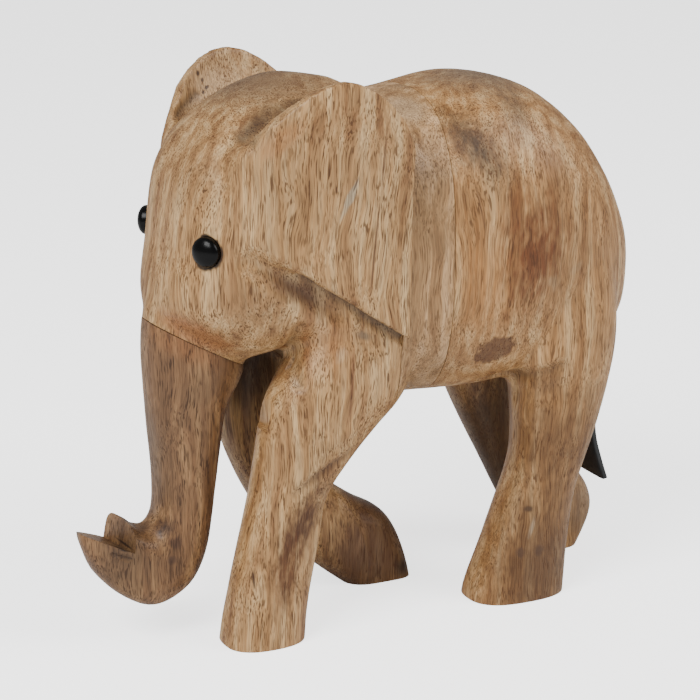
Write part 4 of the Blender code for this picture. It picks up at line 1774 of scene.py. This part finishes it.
@dataclass
class Studio:
    """Background paper, softboxes and camera.

    Args:
        azimuth: the camera's angle from straight ahead of the elephant to its left, in degrees.
        elevation: its height above the horizon, in degrees.
        distance: its distance from the target, in millimetres.
        target: the point that it looks at.
        lens: focal length.
        sensor: width of the camera's sensor.
        softboxes: the lamps.
        sky: strength of the even light from all round.
        paper: half the width of the background paper, in metres.
    """

    azimuth: float = 64.69
    elevation: float = 15.66
    distance: float = 532.5
    target: Point3 = (0.0, -9.86, 69.55)
    lens: float = 104.1
    sensor: float = 36.0
    softboxes: tuple[Softbox, ...] = (
        Softbox(30.0, 42.0, 1.0, 0.5, 11.0),
        Softbox(140.0, 34.0, 1.1, 0.6, 8.0),
    )
    sky: float = 0.36
    paper: float = 4.0

    def toward(self, azimuth: float, elevation: float) -> Vector:
        """The way from the figure towards a lamp or camera.

        Args:
            azimuth: its angle from straight ahead to the elephant's left, in degrees.
            elevation: its height above the horizon, in degrees.

        Returns:
            A unit vector.
        """
        around, up = math.radians(azimuth), math.radians(elevation)
        return Vector(
            (math.sin(around) * math.cos(up), -math.cos(around) * math.cos(up), math.sin(up))
        )

    def aim(self, thing: bpy.types.Object, away: Vector) -> None:
        """Stands a lamp or camera up and points it at the target.

        Args:
            thing: the lamp or camera.
            away: where it stands, from the target.
        """
        thing.location = to_frame(*self.target) + away
        thing.rotation_euler = away.to_track_quat("Z", "Y").to_euler()
        bpy.context.scene.collection.objects.link(thing)

    def build(self) -> None:
        """Sets up the paper, the lamps and the camera."""
        shape = bmesh.new()
        bmesh.ops.create_grid(shape, x_segments=1, y_segments=1, size=self.paper)
        floor = new_object("background_paper", shape)
        dress(floor, PaperFloor().build())
        for index, box_light in enumerate(self.softboxes):
            lamp = bpy.data.lights.new(f"softbox_{index}", "AREA")
            lamp.size, lamp.energy = box_light.size, box_light.power
            away = self.toward(box_light.azimuth, box_light.elevation) * box_light.distance
            self.aim(bpy.data.objects.new(lamp.name, lamp), away)
        world = bpy.data.worlds.new("white_studio")
        world.use_nodes = True
        background = world.node_tree.nodes["Background"]
        background.inputs["Color"].default_value = (1.0, 1.0, 1.0, 1.0)
        seen = add_node(world.node_tree, "ShaderNodeLightPath").outputs["Is Camera Ray"]
        strength = add_node(
            world.node_tree, "ShaderNodeMath", {0: seen, 1: PaperFloor.glow, 2: self.sky},
            operation="MULTIPLY_ADD",
        )
        world.node_tree.links.new(strength.outputs[0], background.inputs["Strength"])
        bpy.context.scene.world = world
        lens = bpy.data.cameras.new("camera")
        lens.lens, lens.sensor_width = self.lens, self.sensor
        lens.clip_start, lens.clip_end = 0.01, 20.0
        camera = bpy.data.objects.new("camera", lens)
        self.aim(camera, self.toward(self.azimuth, self.elevation) * self.distance * MM)
        bpy.context.scene.camera = camera


# --------------------------------------------------------------------------------------------------
# Assembly
# --------------------------------------------------------------------------------------------------


@dataclass
class Elephant:
    """The whole figure: four wooden pieces, the dowel, two eyes and the tail.

    Args:
        joint: the joint between head and trunk.
        tail: the tail.
        eyes: both eye pins.
    """

    joint: TrunkJoint = field(default_factory=TrunkJoint)
    tail: Tail = field(default_factory=Tail)
    eyes: list[Eye] = field(default_factory=lambda: [Eye(flank) for flank in Flank])

    def add(
        self, piece: bpy.types.Object, finish: bpy.types.Material, slot: str, *nodes: str
    ) -> None:
        """Dresses a piece that stands still and puts it in the place of its frame nodes.

        Args:
            piece: the piece.
            finish: its material.
            slot: the record's material slot, which is not used.
            nodes: frame nodes that it stands for.
        """
        dress(piece, finish)
        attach(piece, "root")
        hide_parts(*nodes)
        LOG.info("%s: %d faces", piece.name, len(piece.data.polygons))

    def build_wood(self) -> None:
        """The four carved pieces, and the dowel's finish."""
        body = CarvedBody().build()
        front = FrontBlock(self.joint, self.eyes).build(body)
        board = MiddleBoard().build(body)
        rear = RearBlock(self.tail).build(body)
        bpy.data.meshes.remove(body.data)
        trunk = Trunk(self.joint).build()
        self.add(front, HEAD_WOOD.build(), "golden_mango_wood", "front_block")
        self.add(board, BOARD_WOOD.build(), "grey_mango_wood", "middle_board")
        self.add(rear, RUMP_WOOD.build(), "golden_mango_wood", "rear_block")
        self.add(trunk, TRUNK_WOOD.build(), "dark_mango_wood", "trunk_block")
        for material_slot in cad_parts["trunk_dowel"].material_slots:
            material_slot.material = DOWEL_WOOD.build()

    def build_eyes(self) -> None:
        """Both eye pins."""
        gloss = GlossPlastic().build()
        for eye in self.eyes:
            self.add(eye.build(), gloss, "black_gloss", f"{eye.flank.name.lower()}_eye")

    def build_tail(self) -> None:
        """The leather strip, which bends at the mouth of its hole."""
        strip = self.tail.build()
        dress(strip, DyedLeather().build())
        y, z = self.tail.hinge
        start = to_frame(0, y, z + self.tail.stiff_above)
        end = to_frame(0, y, z - self.tail.free_below)
        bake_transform(strip)
        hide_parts("tail_root", "tail_strap")
        LOG.info("%s: %d faces", strip.name, len(strip.data.polygons))


def main() -> None:
    """Builds the figure and the studio."""
    logging.basicConfig(level=logging.INFO, format="%(name)s: %(message)s")
    elephant = Elephant()
    elephant.build_wood()
    elephant.build_eyes()
    elephant.build_tail()
    Studio().build()


if __name__ == "__main__":
    main()
